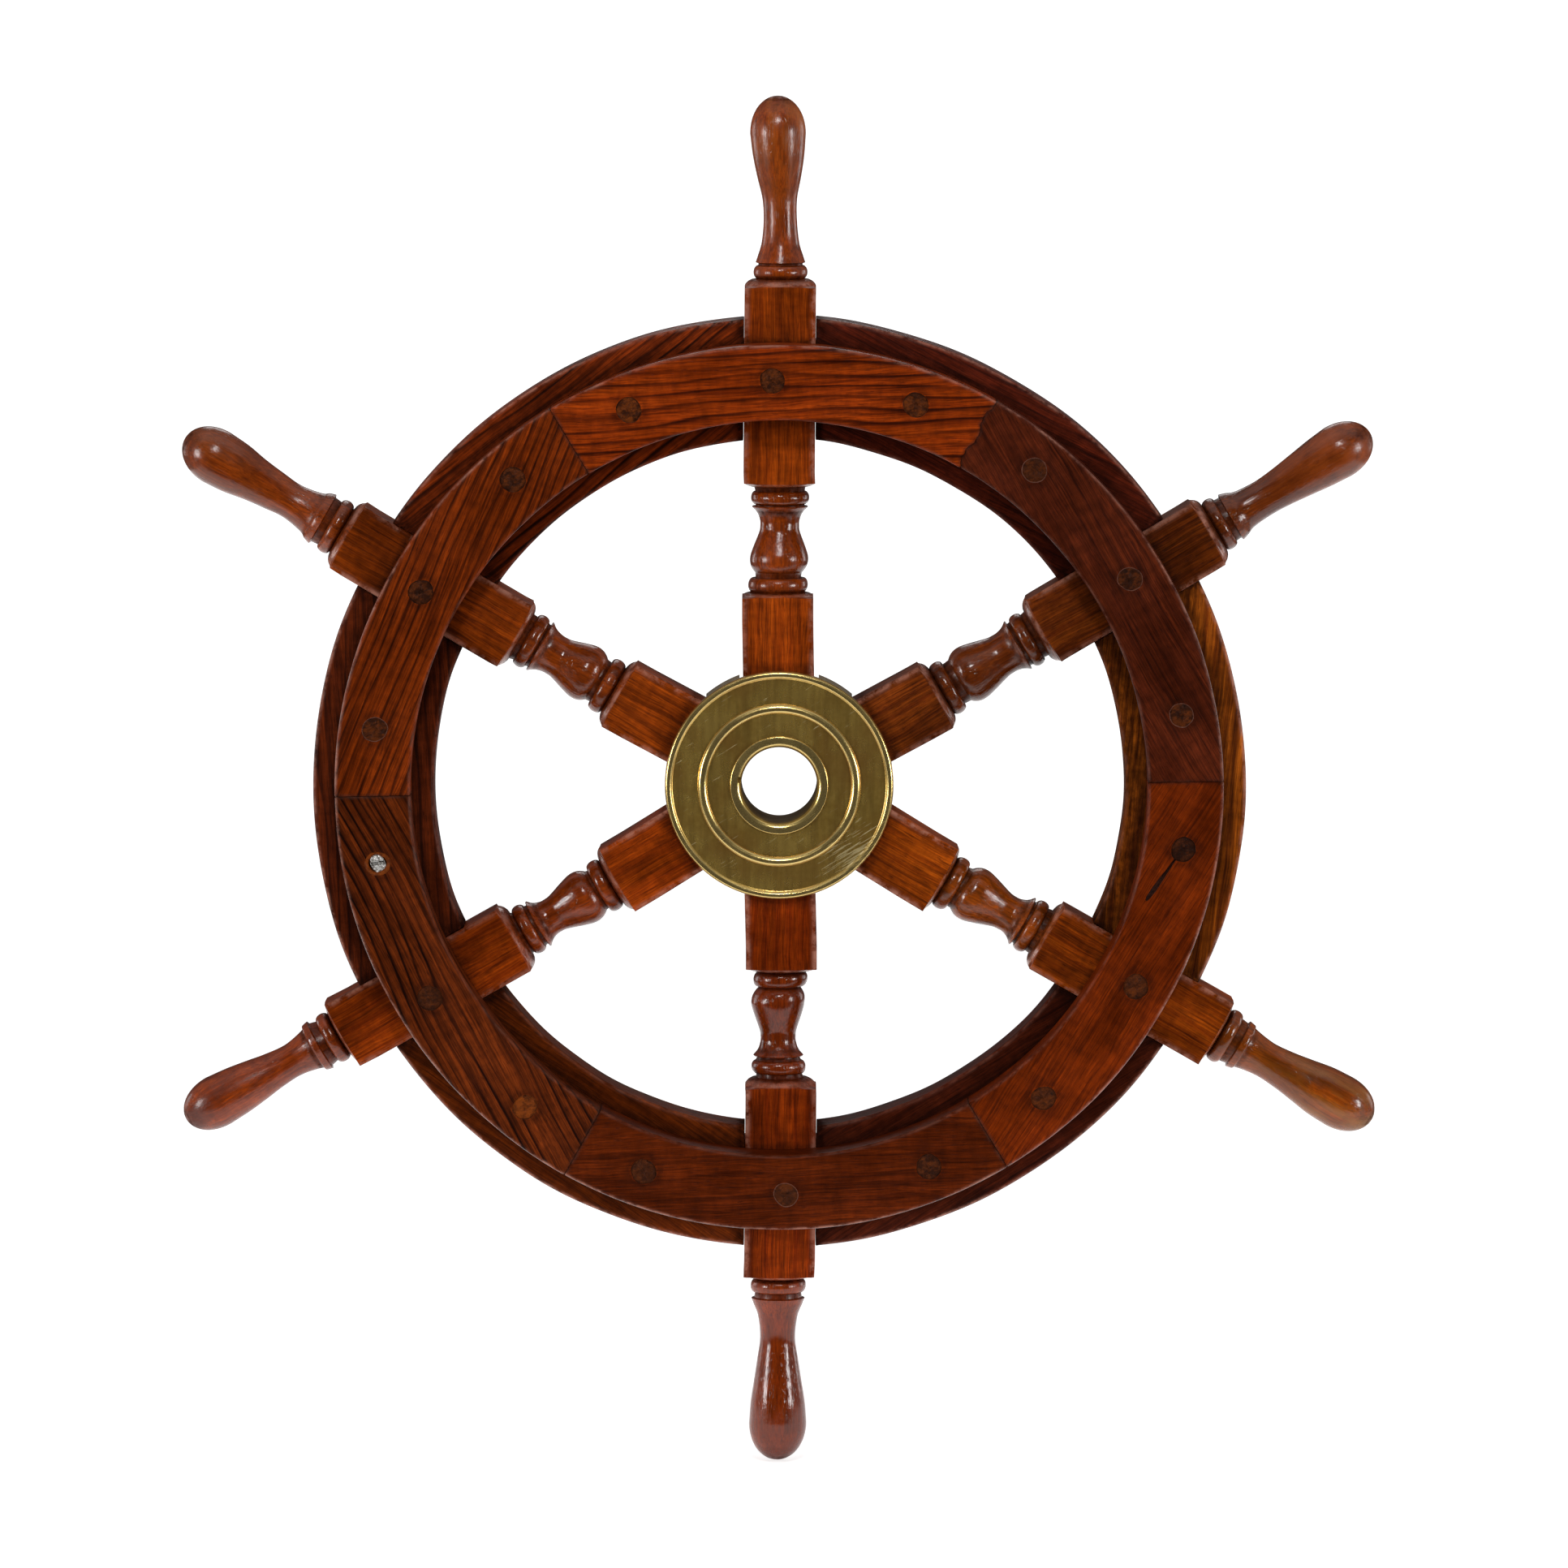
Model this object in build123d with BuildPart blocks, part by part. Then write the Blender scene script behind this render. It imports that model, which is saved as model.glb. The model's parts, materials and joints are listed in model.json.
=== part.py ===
from build123d import *
import os
from math import asin, cos, degrees, radians, sin, tan

# A six-spoke wooden ship's wheel with a brass hub.
#
# The wheel stands upright: X is to the right seen from the front, Z is up, the front faces -Y and
# the axle lies along Y. The origin is the middle of the bore. Sizes are in millimetres. Places
# round the wheel are named by the clock, and angles run anticlockwise from +X seen from the front.

# Spokes: square sticks, turned between their square blocks, with a handle at the outer end
SPOKE_HOURS = (12, 2, 4, 6, 8, 10)
STICK_SIDE = 19.8
TIP_RADIUS = 190.5
HUB_BLOCK_END = 54.2
RIM_BLOCK_START = 84.4
RIM_BLOCK_END = 140.4
SHOULDER_LENGTH = 2.4
SHOULDER_FOOT = 9.0
GROOVE_RADIUS = 6.4
HANDLE_RADIUS = 7.8

# Rim: felloes between the spokes, and a ring of facings screwed on in front and behind
FELLOE_HOURS = (1, 3, 5, 7, 9, 11)
FELLOE_INNER = 95.5
FELLOE_OUTER = 129.7
FELLOE_SETBACK = 1.5
FACING_INNER = 101.8
FACING_OUTER = 122.7
FACING_THICKNESS = 14.0
FACING_SWEEP = 60.0
FACING_TURN = 1.0
EDGE_ROUND = 0.9

# Countersunk wood screws, three to a facing, each under a wooden plug
SCREW_CIRCLE = 112.8
SCREW_STEP = 20.5
SCREW_RADIUS = 1.75
SCREW_LENGTH = 18.0
SCREW_POINT = 3.0
SCREW_POINT_RADIUS = 0.4
HEAD_RADIUS = 3.4
HEAD_HEIGHT = 2.2
SLOT_WIDTH = 0.9
SLOT_DEPTH = 0.8
PLUG_RADIUS = 3.8
PLUG_DEPTH = 4.5
LOST_PLUG = (8, -1)

# Brass hub: two notched caps, the back one slipped inside the front one, and a flared sleeve
BORE_RADIUS = 10.5
SLEEVE_RADIUS = 11.7
FLARE_RADIUS = 13.6
FLARE_THICKNESS = 0.7
FLARE_ROUND = 0.5
CAP_RADIUS = 31.7
CAP_PLATE = 2.1
CAP_SKIRT = 1.6
CAP_SLIP = 0.2
CAP_OVERLAP = 1.0
CAP_ROUND = 0.6
NOTCH_WIDTH = 22.0
NOTCH_DEPTH = 9.6
RING_START = 20.1
RING_WIDTH = 2.4
RING_HEIGHT = 1.0
RIM_RING_WIDTH = 2.0
RIM_RING_HEIGHT = 0.8
RIM_RING_INSET = 0.8

# Worked out from the sizes above
HALF_STICK = STICK_SIDE / 2
STICK_CLEAR = STICK_SIDE * 0.75
HALF_FELLOE = HALF_STICK - FELLOE_SETBACK
RIM_FACE = HALF_STICK + FACING_THICKNESS
CAP_FACE = HALF_STICK + CAP_PLATE
SLEEVE_END = CAP_FACE + FLARE_THICKNESS
HALF_SPACING = 180 / len(SPOKE_HOURS)
MITRE_START = HALF_STICK / tan(radians(HALF_SPACING))
BELOW = (Align.CENTER, Align.CENTER, Align.MAX)


def clock_angle(hour):
    """Angle of an hour on the clock face."""
    return 90 - 30 * hour


def spoke_plane(angle):
    """Plane through the middle of the wheel: x runs out along a spoke, z to the wheel's back."""
    outward = (cos(radians(angle)), 0, sin(radians(angle)))
    return Plane(origin=(0, 0, 0), x_dir=outward, z_dir=(0, 1, 0))


def side_plane(side, depth):
    """Plane at a depth from the wheel's middle, as seen from the front (-1) or the back (1)."""
    return Plane(origin=(0, side * depth, 0), x_dir=(-side, 0, 0), z_dir=(0, side, 0))


def side_angle(side, hour):
    """Angle of an hour in the side's own view: the clock runs backwards seen from behind."""
    return clock_angle(hour) if side < 0 else 180 - clock_angle(hour)


def on_circle(radius, angle):
    """Point on a circle round the bore, in a side plane."""
    return (radius * cos(radians(angle)), radius * sin(radians(angle)))


def screw_points(side, hour):
    """The three screws of the facing that lies over an hour's spoke, in the side's own view."""
    middle = side_angle(side, hour) + FACING_TURN
    return [on_circle(SCREW_CIRCLE, middle + step * SCREW_STEP) for step in (-1, 0, 1)]


def ring_piece(inner, outer, inner_sweep, outer_sweep, middle):
    """Outline of a piece of a ring, whose two ends are straight."""
    with BuildLine() as outline:
        CenterArc((0, 0), outer, middle - outer_sweep / 2, outer_sweep)
        CenterArc((0, 0), inner, middle - inner_sweep / 2, inner_sweep)
        for end in (-0.5, 0.5):
            Line(on_circle(inner, middle + end * inner_sweep), on_circle(outer, middle + end * outer_sweep))
    return outline.edges()


def screw_body(mode=Mode.ADD):
    """A countersunk screw that points along -z, with the top of its head at z = 0."""
    plain = SCREW_LENGTH - SCREW_POINT
    Cylinder(SCREW_RADIUS, plain, align=BELOW, mode=mode)
    Cone(SCREW_RADIUS, HEAD_RADIUS, HEAD_HEIGHT, align=BELOW, mode=mode)
    with Locations((0, 0, -plain)):
        Cone(SCREW_POINT_RADIUS, SCREW_RADIUS, SCREW_POINT, align=BELOW, mode=mode)


def cut_screw_holes(hours):
    """Drive the screws of both sides' facings over these hours into the wood being made."""
    for side in (-1, 1):
        points = [point for hour in hours for point in screw_points(side, hour)]
        with Locations(side_plane(side, RIM_FACE - PLUG_DEPTH)):
            with Locations(*points):
                screw_body(Mode.SUBTRACT)


def shoulder(end, inwards):
    """Rounded shoulder where the lathe has cut back the corners of a square block."""
    foot = (end, SHOULDER_FOOT)
    crown = (end + inwards * SHOULDER_LENGTH, STICK_CLEAR)
    bulge = (end + inwards * SHOULDER_LENGTH * 0.3, (SHOULDER_FOOT + STICK_CLEAR) / 2)
    ThreePointArc(foot, bulge, crown)


def turned_outline():
    """Half section of a spoke along its axis, with x as the distance from the wheel's centre."""
    with BuildLine() as outline:
        # Hub block
        Polyline((0, 0), (0, STICK_CLEAR), (HUB_BLOCK_END - SHOULDER_LENGTH, STICK_CLEAR))
        shoulder(HUB_BLOCK_END, -1)
        Polyline((HUB_BLOCK_END, SHOULDER_FOOT), (HUB_BLOCK_END, GROOVE_RADIUS), (54.6, GROOVE_RADIUS))
        # Inner turning: bead, bulb and cove, fillet and bead
        ThreePointArc((54.6, GROOVE_RADIUS), (56.9, 8.2), (59.2, GROOVE_RADIUS))
        Line((59.2, GROOVE_RADIUS), (59.6, 6.1))
        Spline((59.6, 6.1), (64.3, 7.95), (72.9, 5.35), (77.0, 7.4))
        Polyline((77.0, 7.4), (78.1, 7.6), (78.1, GROOVE_RADIUS), (78.6, GROOVE_RADIUS))
        ThreePointArc((78.6, GROOVE_RADIUS), (80.7, 7.95), (82.8, GROOVE_RADIUS))
        # Rim block
        Polyline((82.8, GROOVE_RADIUS), (RIM_BLOCK_START, GROOVE_RADIUS), (RIM_BLOCK_START, SHOULDER_FOOT))
        shoulder(RIM_BLOCK_START, 1)
        Line(
            (RIM_BLOCK_START + SHOULDER_LENGTH, STICK_CLEAR),
            (RIM_BLOCK_END - SHOULDER_LENGTH, STICK_CLEAR),
        )
        shoulder(RIM_BLOCK_END, -1)
        Polyline((RIM_BLOCK_END, SHOULDER_FOOT), (RIM_BLOCK_END, GROOVE_RADIUS), (140.9, GROOVE_RADIUS))
        # Handle: bead, lip, waist and swell, with a round end
        ThreePointArc((140.9, GROOVE_RADIUS), (142.8, 7.7), (144.7, GROOVE_RADIUS))
        Polyline((144.7, GROOVE_RADIUS), (145.2, GROOVE_RADIUS), (145.2, 6.8), (146.2, 6.8))
        Spline(
            (146.2, 6.8),
            (151.0, 5.0),
            (158.5, 4.65),
            (170.5, 6.5),
            (TIP_RADIUS - HANDLE_RADIUS, HANDLE_RADIUS),
            tangents=((0.6, -1), (1, 0)),
        )
        RadiusArc((TIP_RADIUS - HANDLE_RADIUS, HANDLE_RADIUS), (TIP_RADIUS, 0), HANDLE_RADIUS)
        Line((TIP_RADIUS, 0), (0, 0))
    return outline.edges()


def make_spoke(hour):
    """A spoke turned from one square stick, mitred at the hub to meet its neighbours."""
    angle = clock_angle(hour)
    along = spoke_plane(angle)
    meet = (SLEEVE_RADIUS * cos(radians(HALF_SPACING)), SLEEVE_RADIUS * sin(radians(HALF_SPACING)))
    with BuildPart() as spoke:
        with BuildSketch(along):
            with BuildLine():
                CenterArc((0, 0), SLEEVE_RADIUS, -HALF_SPACING, 2 * HALF_SPACING)
                stick_edge = Polyline(meet, (MITRE_START, HALF_STICK), (TIP_RADIUS, HALF_STICK))
                mirror(stick_edge, about=Plane.XZ)
                Line((TIP_RADIUS, HALF_STICK), (TIP_RADIUS, -HALF_STICK))
            make_face()
        extrude(amount=HALF_STICK, both=True)
        with BuildSketch(along):
            make_face(turned_outline())
        revolve(axis=Axis((0, 0, 0), tuple(along.x_dir)), mode=Mode.INTERSECT)
        cut_screw_holes([hour])
    return spoke.part


def make_felloe(hour):
    """A felloe between two spokes, whose ends butt against the sides of their blocks."""
    angle = clock_angle(hour)
    sweep = [2 * (HALF_SPACING - degrees(asin(HALF_STICK / r))) for r in (FELLOE_INNER, FELLOE_OUTER)]
    with BuildPart() as felloe:
        with BuildSketch(side_plane(-1, -HALF_FELLOE)):
            make_face(ring_piece(FELLOE_INNER, FELLOE_OUTER, *sweep, angle))
        extrude(amount=2 * HALF_FELLOE)
        arcs = felloe.edges().filter_by(GeomType.CIRCLE)
        fillet(arcs, radius=EDGE_ROUND)
        cut_screw_holes([hour - 1, hour + 1])
    return felloe.part


def make_facing(side, hour):
    """A facing on the front (-1) or back (1) of the rim, centred over an hour's spoke."""
    middle = side_angle(side, hour) + FACING_TURN
    with BuildPart() as facing:
        with BuildSketch(side_plane(side, HALF_STICK)):
            make_face(ring_piece(FACING_INNER, FACING_OUTER, FACING_SWEEP, FACING_SWEEP, middle))
        extrude(amount=FACING_THICKNESS)
        outer_face = facing.faces().sort_by(Axis.Y)[0 if side < 0 else -1]
        fillet(outer_face.edges().filter_by(GeomType.CIRCLE), radius=EDGE_ROUND)
        with Locations(side_plane(side, RIM_FACE)):
            with Locations(*screw_points(side, hour)):
                Cylinder(PLUG_RADIUS, PLUG_DEPTH, align=BELOW, mode=Mode.SUBTRACT)
        cut_screw_holes([hour])
    return facing.part


def make_screws(side):
    """All the screws of one side, with slotted heads."""
    with BuildPart() as screws:
        with Locations(side_plane(side, RIM_FACE - PLUG_DEPTH)):
            for hour in SPOKE_HOURS:
                with Locations(*screw_points(side, hour)):
                    screw_body()
                    Box(2 * HEAD_RADIUS, SLOT_WIDTH, SLOT_DEPTH, align=BELOW, mode=Mode.SUBTRACT)
    return screws.part


def make_plugs(side, lost=None):
    """The wooden plugs of one side, flush with its face; lost names an hour and a step."""
    with BuildPart() as plugs:
        with Locations(side_plane(side, RIM_FACE)):
            for hour in SPOKE_HOURS:
                points = screw_points(side, hour)
                kept = [point for step, point in zip((-1, 0, 1), points) if (hour, step) != lost]
                with Locations(*kept):
                    Cylinder(PLUG_RADIUS, PLUG_DEPTH, align=BELOW)
    return plugs.part


def cap_ring(start, width, height, side):
    """A raised ring on a cap's face, as a half section."""
    crest = (start + width / 2, side * (CAP_FACE + height))
    ThreePointArc((start, side * CAP_FACE), crest, (start + width, side * CAP_FACE))


def make_cap(side):
    """A brass hub cap: a plate with two raised rings, and a skirt notched round the spokes."""
    outer = CAP_RADIUS if side < 0 else CAP_RADIUS - CAP_SKIRT - CAP_SLIP
    ring_end = RING_START + RING_WIDTH
    rim_ring_end = outer - RIM_RING_INSET
    rim_ring_start = rim_ring_end - RIM_RING_WIDTH
    with BuildPart() as cap:
        with BuildSketch(Plane.XY):
            with BuildLine():
                Polyline(
                    (RING_START, side * CAP_FACE),
                    (SLEEVE_RADIUS, side * CAP_FACE),
                    (SLEEVE_RADIUS, side * HALF_STICK),
                    (outer - CAP_SKIRT, side * HALF_STICK),
                    (outer - CAP_SKIRT, -side * CAP_OVERLAP),
                    (outer, -side * CAP_OVERLAP),
                    (outer, side * (CAP_FACE - CAP_ROUND)),
                    (outer - CAP_ROUND, side * CAP_FACE),
                    (rim_ring_end, side * CAP_FACE),
                )
                cap_ring(rim_ring_start, RIM_RING_WIDTH, RIM_RING_HEIGHT, side)
                Line((rim_ring_start, side * CAP_FACE), (ring_end, side * CAP_FACE))
                cap_ring(RING_START, RING_WIDTH, RING_HEIGHT, side)
            make_face()
        revolve(axis=Axis.Y)
        with BuildSketch(side_plane(side, -CAP_OVERLAP)):
            with PolarLocations(outer, len(SPOKE_HOURS), start_angle=HALF_SPACING):
                Rectangle(NOTCH_DEPTH, NOTCH_WIDTH)
        extrude(amount=CAP_OVERLAP + HALF_STICK, mode=Mode.SUBTRACT)
    return cap.part


def make_sleeve():
    """The brass sleeve that lines the bore, flared over both caps."""
    with BuildPart() as sleeve:
        with BuildSketch(Plane.XY):
            with BuildLine():
                Polyline(
                    (BORE_RADIUS, -SLEEVE_END),
                    (BORE_RADIUS, SLEEVE_END),
                    (FLARE_RADIUS, SLEEVE_END),
                    (FLARE_RADIUS, CAP_FACE),
                    (SLEEVE_RADIUS, CAP_FACE),
                    (SLEEVE_RADIUS, -CAP_FACE),
                    (FLARE_RADIUS, -CAP_FACE),
                    (FLARE_RADIUS, -SLEEVE_END),
                    (BORE_RADIUS, -SLEEVE_END),
                )
            section = make_face()
            ends = section.vertices().filter_by(lambda v: abs(abs(v.Y) - SLEEVE_END) < 0.01)
            fillet(ends, radius=FLARE_ROUND)
        revolve(axis=Axis.Y)
    return sleeve.part


def save(part, name):
    """Label a finished piece and write it under its own name."""
    part.label = name
    export_step(part, f"parts/{name}.step")


os.makedirs("parts", exist_ok=True)

for hour in SPOKE_HOURS:
    save(make_spoke(hour), f"spoke_{hour:02d}")
    save(make_facing(-1, hour), f"front_facing_{hour:02d}")
    save(make_facing(1, hour), f"back_facing_{hour:02d}")

for hour in FELLOE_HOURS:
    save(make_felloe(hour), f"felloe_{hour:02d}")

save(make_screws(-1), "front_screws")
save(make_screws(1), "back_screws")
save(make_plugs(-1, LOST_PLUG), "front_plugs")
save(make_plugs(1), "back_plugs")

save(make_cap(-1), "front_hub_cap")
save(make_cap(1), "back_hub_cap")
save(make_sleeve(), "hub_sleeve")
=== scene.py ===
import json
import math

import bmesh
import bpy
import numpy as np
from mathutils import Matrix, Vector


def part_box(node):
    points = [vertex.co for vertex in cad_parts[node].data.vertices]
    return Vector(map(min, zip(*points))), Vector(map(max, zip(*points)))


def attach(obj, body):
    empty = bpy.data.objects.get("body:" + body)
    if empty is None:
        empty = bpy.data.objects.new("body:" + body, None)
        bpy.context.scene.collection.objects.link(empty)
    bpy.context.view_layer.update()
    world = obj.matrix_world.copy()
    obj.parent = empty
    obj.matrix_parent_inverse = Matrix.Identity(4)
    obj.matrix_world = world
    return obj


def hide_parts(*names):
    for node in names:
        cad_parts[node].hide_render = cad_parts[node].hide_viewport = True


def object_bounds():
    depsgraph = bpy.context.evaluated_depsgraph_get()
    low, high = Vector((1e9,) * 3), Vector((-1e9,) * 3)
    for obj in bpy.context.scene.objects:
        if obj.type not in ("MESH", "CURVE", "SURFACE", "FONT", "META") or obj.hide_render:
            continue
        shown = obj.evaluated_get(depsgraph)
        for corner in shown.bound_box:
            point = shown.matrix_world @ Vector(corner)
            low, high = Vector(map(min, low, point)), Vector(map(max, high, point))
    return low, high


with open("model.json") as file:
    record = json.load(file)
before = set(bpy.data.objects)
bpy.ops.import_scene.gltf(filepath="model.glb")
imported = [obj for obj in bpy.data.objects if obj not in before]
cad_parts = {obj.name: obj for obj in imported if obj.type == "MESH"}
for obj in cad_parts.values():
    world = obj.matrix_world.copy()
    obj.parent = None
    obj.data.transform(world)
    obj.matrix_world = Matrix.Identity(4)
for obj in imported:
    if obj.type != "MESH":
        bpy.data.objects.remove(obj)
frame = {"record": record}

cad_low, cad_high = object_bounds()

# A six-spoke wooden ship's wheel with a brass hub, standing on its lowest handle. Lengths are in
# millimetres until mesh_object turns them into metres. Angles are in degrees, anticlockwise from +X
# seen from the front, which faces -Y. Places round the wheel are named by the clock.
MM = 0.001
SPOKE_HOURS = (12, 2, 4, 6, 8, 10)
FELLOE_HOURS = (1, 3, 5, 7, 9, 11)
HALF_SPACING = 30.0
FRONT, BACK = -1, 1
SIDE_NAMES = {FRONT: "front", BACK: "back"}
SHARP_EDGE = 32.0


def high_corner(node):
    """The highest corner of a CAD node's box, in millimetres."""
    return np.array(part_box(node)[1]) / MM


# Sizes read from the frame
HALF_STICK = high_corner("spoke_12")[0]
TIP_RADIUS = high_corner("spoke_12")[2]
HALF_FELLOE = high_corner("felloe_03")[1]
FELLOE_OUTER = high_corner("felloe_03")[0]
RIM_FACE = high_corner("back_facing_12")[1]
FACING_OUTER = high_corner("front_facing_12")[2]
CAP_RADIUS = high_corner("front_hub_cap")[0]
BACK_CAP_RADIUS = high_corner("back_hub_cap")[0]
SLEEVE_END = high_corner("hub_sleeve")[1]
FLARE_RADIUS = high_corner("hub_sleeve")[0]
BORE_RADIUS = frame["record"]["mounts"][0]["dims"]["r_mm"]

# Spokes
SPOKE_START = 11.9
STICK_CLEAR = HALF_STICK * 1.5
SQUARENESS = 30.0
CROSSING = 44.0
RIPPLE = 0.05
BOX_MARGIN = 0.01
BEAD_HALF = 2.0
NOSE_START = 180.0
GRIP_STATIONS = (150, 156, 162, 168, 174, NOSE_START)
SWAY_STATIONS = (20, 45, 53, 62, 80, 86, 134, 142, 156, NOSE_START, TIP_RADIUS)
BULB_FALL = ((0.11, 0.97), (0.22, 0.87), (0.44, 0.60), (0.65, 0.31), (0.86, 0.05), (1.0, 0.0))
SHOULDER_FALL = (
    (1.0, STICK_CLEAR), (0.95, 12.4), (0.86, 10.9), (0.70, 10.05), (0.46, 9.5), (0.2, 8.8), (0.0, 7.9),
)
LIP_RISE = ((0.26, 0.02), (0.58, 0.24), (0.79, 0.54), (0.93, 0.86), (1.0, 1.0))

# How each spoke was turned. places: end of the hub block, bead, bulb, cove, lip, bead, start and end
# of the rim block, bead and lip of the grip. radii: the same turnings. shoulders: length of the
# three block ends. grip: radii at GRIP_STATIONS. sway: sideways drift at SWAY_STATIONS.
SPOKES = {
    12: dict(
        places=(52.9, 54.9, 61.9, 71.3, 76.6, 79.0, 82.2, 139.8, 141.8, 144.4),
        radii=(8.3, 8.1, 5.4, 7.8, 8.1, 7.5, 6.9),
        shoulders=(1.2, 1.3, 2.2),
        grip=(5.20, 4.65, 4.85, 6.10, 7.15, 7.75),
        sway=(0, 0.4, 0.4, 0, -0.3, 0, -0.3, -0.4, -0.35, 0.3, 0.35),
    ),
    2: dict(
        places=(51.6, 53.6, 61.1, 71.6, 76.4, 79.2, 82.6, 139.9, 141.8, 145.4),
        radii=(8.0, 8.1, 6.0, 7.7, 8.0, 7.8, 7.2),
        shoulders=(2.0, 2.3, 2.4),
        grip=(5.60, 5.20, 5.60, 6.35, 7.15, 7.70),
        sway=(0, -0.7, -0.8, -0.5, -0.2, 0.35, 0.8, 1.05, 1.2, 2.0, 2.1),
    ),
    4: dict(
        places=(53.5, 55.7, 62.5, 73.4, 78.1, 80.8, 84.3, 141.0, 143.3, 147.5),
        radii=(8.0, 7.9, 5.2, 7.5, 7.9, 8.0, 7.2),
        shoulders=(1.3, 1.7, 1.0),
        grip=(6.10, 5.20, 5.60, 6.45, 7.40, 7.70),
        sway=(0, -0.8, -0.9, -0.35, 0, 0, 0.35, 0.35, 0.3, 0.5, 0.65),
    ),
    6: dict(
        places=(52.9, 55.2, 61.2, 71.3, 76.5, 79.6, 82.8, 139.0, 141.4, 144.8),
        radii=(7.6, 7.5, 4.95, 7.0, 7.6, 7.8, 7.5),
        shoulders=(1.2, 2.4, 1.1),
        grip=(5.55, 4.95, 5.75, 6.65, 7.60, 8.05),
        sway=(0, 0.6, 0.6, -0.4, -0.2, 0.5, 0.1, -0.3, -0.45, -0.4, -0.6),
    ),
    8: dict(
        places=(54.3, 56.6, 63.0, 73.3, 77.9, 80.8, 83.6, 141.2, 143.6, 147.7),
        radii=(7.8, 7.7, 5.1, 7.2, 7.5, 7.5, 7.5),
        shoulders=(2.0, 2.3, 1.0),
        grip=(6.10, 4.85, 5.20, 6.10, 6.90, 7.35),
        sway=(0, 0.8, 0.9, 0.95, 0.95, 0.8, 0.3, -0.1, -0.2, -0.75, -0.75),
    ),
    10: dict(
        places=(52.5, 54.8, 61.7, 71.0, 76.3, 79.0, 82.3, 139.9, 142.2, 146.3),
        radii=(8.1, 8.0, 5.8, 7.7, 8.1, 8.1, 7.8),
        shoulders=(1.9, 1.8, 2.1),
        grip=(6.15, 5.15, 5.65, 6.35, 7.40, 7.85),
        sway=(0, 0.8, 0.9, 0.6, 0.55, 1.0, 0.5, 0.05, -0.05, -0.2, -0.4),
    ),
}

# Rim. A joint is rough at a side, an hour and one end; DARK_INSIDE darkens a felloe's inner wall.
FELLOE_INNER = 95.5
FACING_INNER = 101.8
FACING_TURN = 1.0
ROUGH_JOINT = ((FRONT, 12, -1), (FRONT, 2, 1))
JOINT_GAP = 0.12
GLUE_LINE = 0.08
OUTER_GLOSS = 0.6
DARK_INSIDE = {1: 0.3, 3: 0.8}
EDGE_ROUND = 1.1
END_ROUND = 0.16
SCREW_CIRCLE = 112.8
SCREW_STEP = 20.5
PLUG_RADIUS = 3.8
PLUG_DEPTH = 4.5
SCREW_HEAD = 3.2
SCREW_SHANK = 1.75
LOST_PLUG = (FRONT, 8, -1)

# Hub
SLEEVE_RADIUS = 11.7
CAP_PLATE = 2.1
CAP_SKIRT = 1.6
CAP_OVERLAP = 1.0
SQUARE = np.array(((-1, -1), (1, -1), (1, 1), (-1, 1)))
NOTCH_WIDTH = 22.0
NOTCH_DEPTH = 9.6
CAP_FACE = HALF_STICK + CAP_PLATE
LIP_ROUND = 1.7
RUBBED_SPOT = (22.0, 0.0, -20.0)
NICK_ANGLE = 172.0
NICK_SIZE = 1.7
CAP_SHARP, SLEEVE_SHARP = 35.0, 40.0


# ---------------------------------------------------------------- meshes

def clock_angle(hour):
    """Angle of an hour on the clock face."""
    return 90.0 - 30.0 * hour


def side_angle(side, hour):
    """Angle of an hour in the side's own view, where the clock runs backwards seen from behind."""
    return clock_angle(hour) if side == FRONT else 180.0 - clock_angle(hour)


def side_points(side, across, depth, up):
    """Points given in the side's own view: across, up, and how deep towards that side."""
    return np.stack(np.broadcast_arrays(-side * across, side * depth, up), axis=-1)


def polar(radius, angle, depth, side=FRONT):
    """Points at a radius and an angle in the side's own view, and a depth towards that side."""
    turn = np.radians(angle)
    return side_points(side, radius * np.cos(turn), depth, radius * np.sin(turn))


def full_turn(count=48):
    """Angles once round, in radians."""
    return np.linspace(0, 2 * np.pi, count, endpoint=False)


def ripple(rng, along, count=5):
    """A smooth random wave between about -1 and 1, from a few sines."""
    total = 0 * along
    for k in range(1, count + 1):
        total = total + np.sin(along * (k + rng.uniform(-0.3, 0.3)) + rng.uniform(0, 6.3)) / k
    return total / 1.8


def grid(points, ring=False, **marks):
    """The shape of rows of points that close round: a tube with flat ends, or a ring of rows."""
    rows, columns = points.shape[:2]
    row, column = np.meshgrid(np.arange(rows if ring else rows - 1), np.arange(columns), indexing="ij")
    here, below, beside = row * columns, (row + 1) % rows * columns, (column + 1) % columns
    corners = (here + column, here + beside, below + beside, below + column)
    faces = np.stack(corners, axis=-1).reshape(-1, 4).tolist()
    if not ring:
        faces += [list(range(columns))[::-1], list(range((rows - 1) * columns, rows * columns))]
    return points, faces, {mark: np.broadcast_to(value, (rows, columns)) for mark, value in marks.items()}


def mesh_object(name, shape, materials, sharp=SHARP_EDGE):
    """A smooth-shaded object from a shape: points in millimetres, faces, and values on the points."""
    points, faces, marks = shape
    mesh = bpy.data.meshes.new(name)
    mesh.from_pydata((points.reshape(-1, 3) * MM).tolist(), [], faces)
    mesh.validate()
    for mark, values in marks.items():
        layer = mesh.attributes.new(mark, "FLOAT", "POINT")
        layer.data.foreach_set("value", np.asarray(values, np.float32).ravel())
    for material in materials:
        mesh.materials.append(material)
    shade(mesh, sharp)
    piece = bpy.data.objects.new(name, mesh)
    bpy.context.scene.collection.objects.link(piece)
    return piece


def shade(mesh, sharp):
    """Outward faces, shaded smooth except over edges sharper than an angle."""
    form = bmesh.new()
    form.from_mesh(mesh)
    bmesh.ops.recalc_face_normals(form, faces=form.faces)
    form.to_mesh(mesh)
    form.free()
    mesh.shade_smooth()
    mesh.set_sharp_from_angle(angle=math.radians(sharp))


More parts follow.
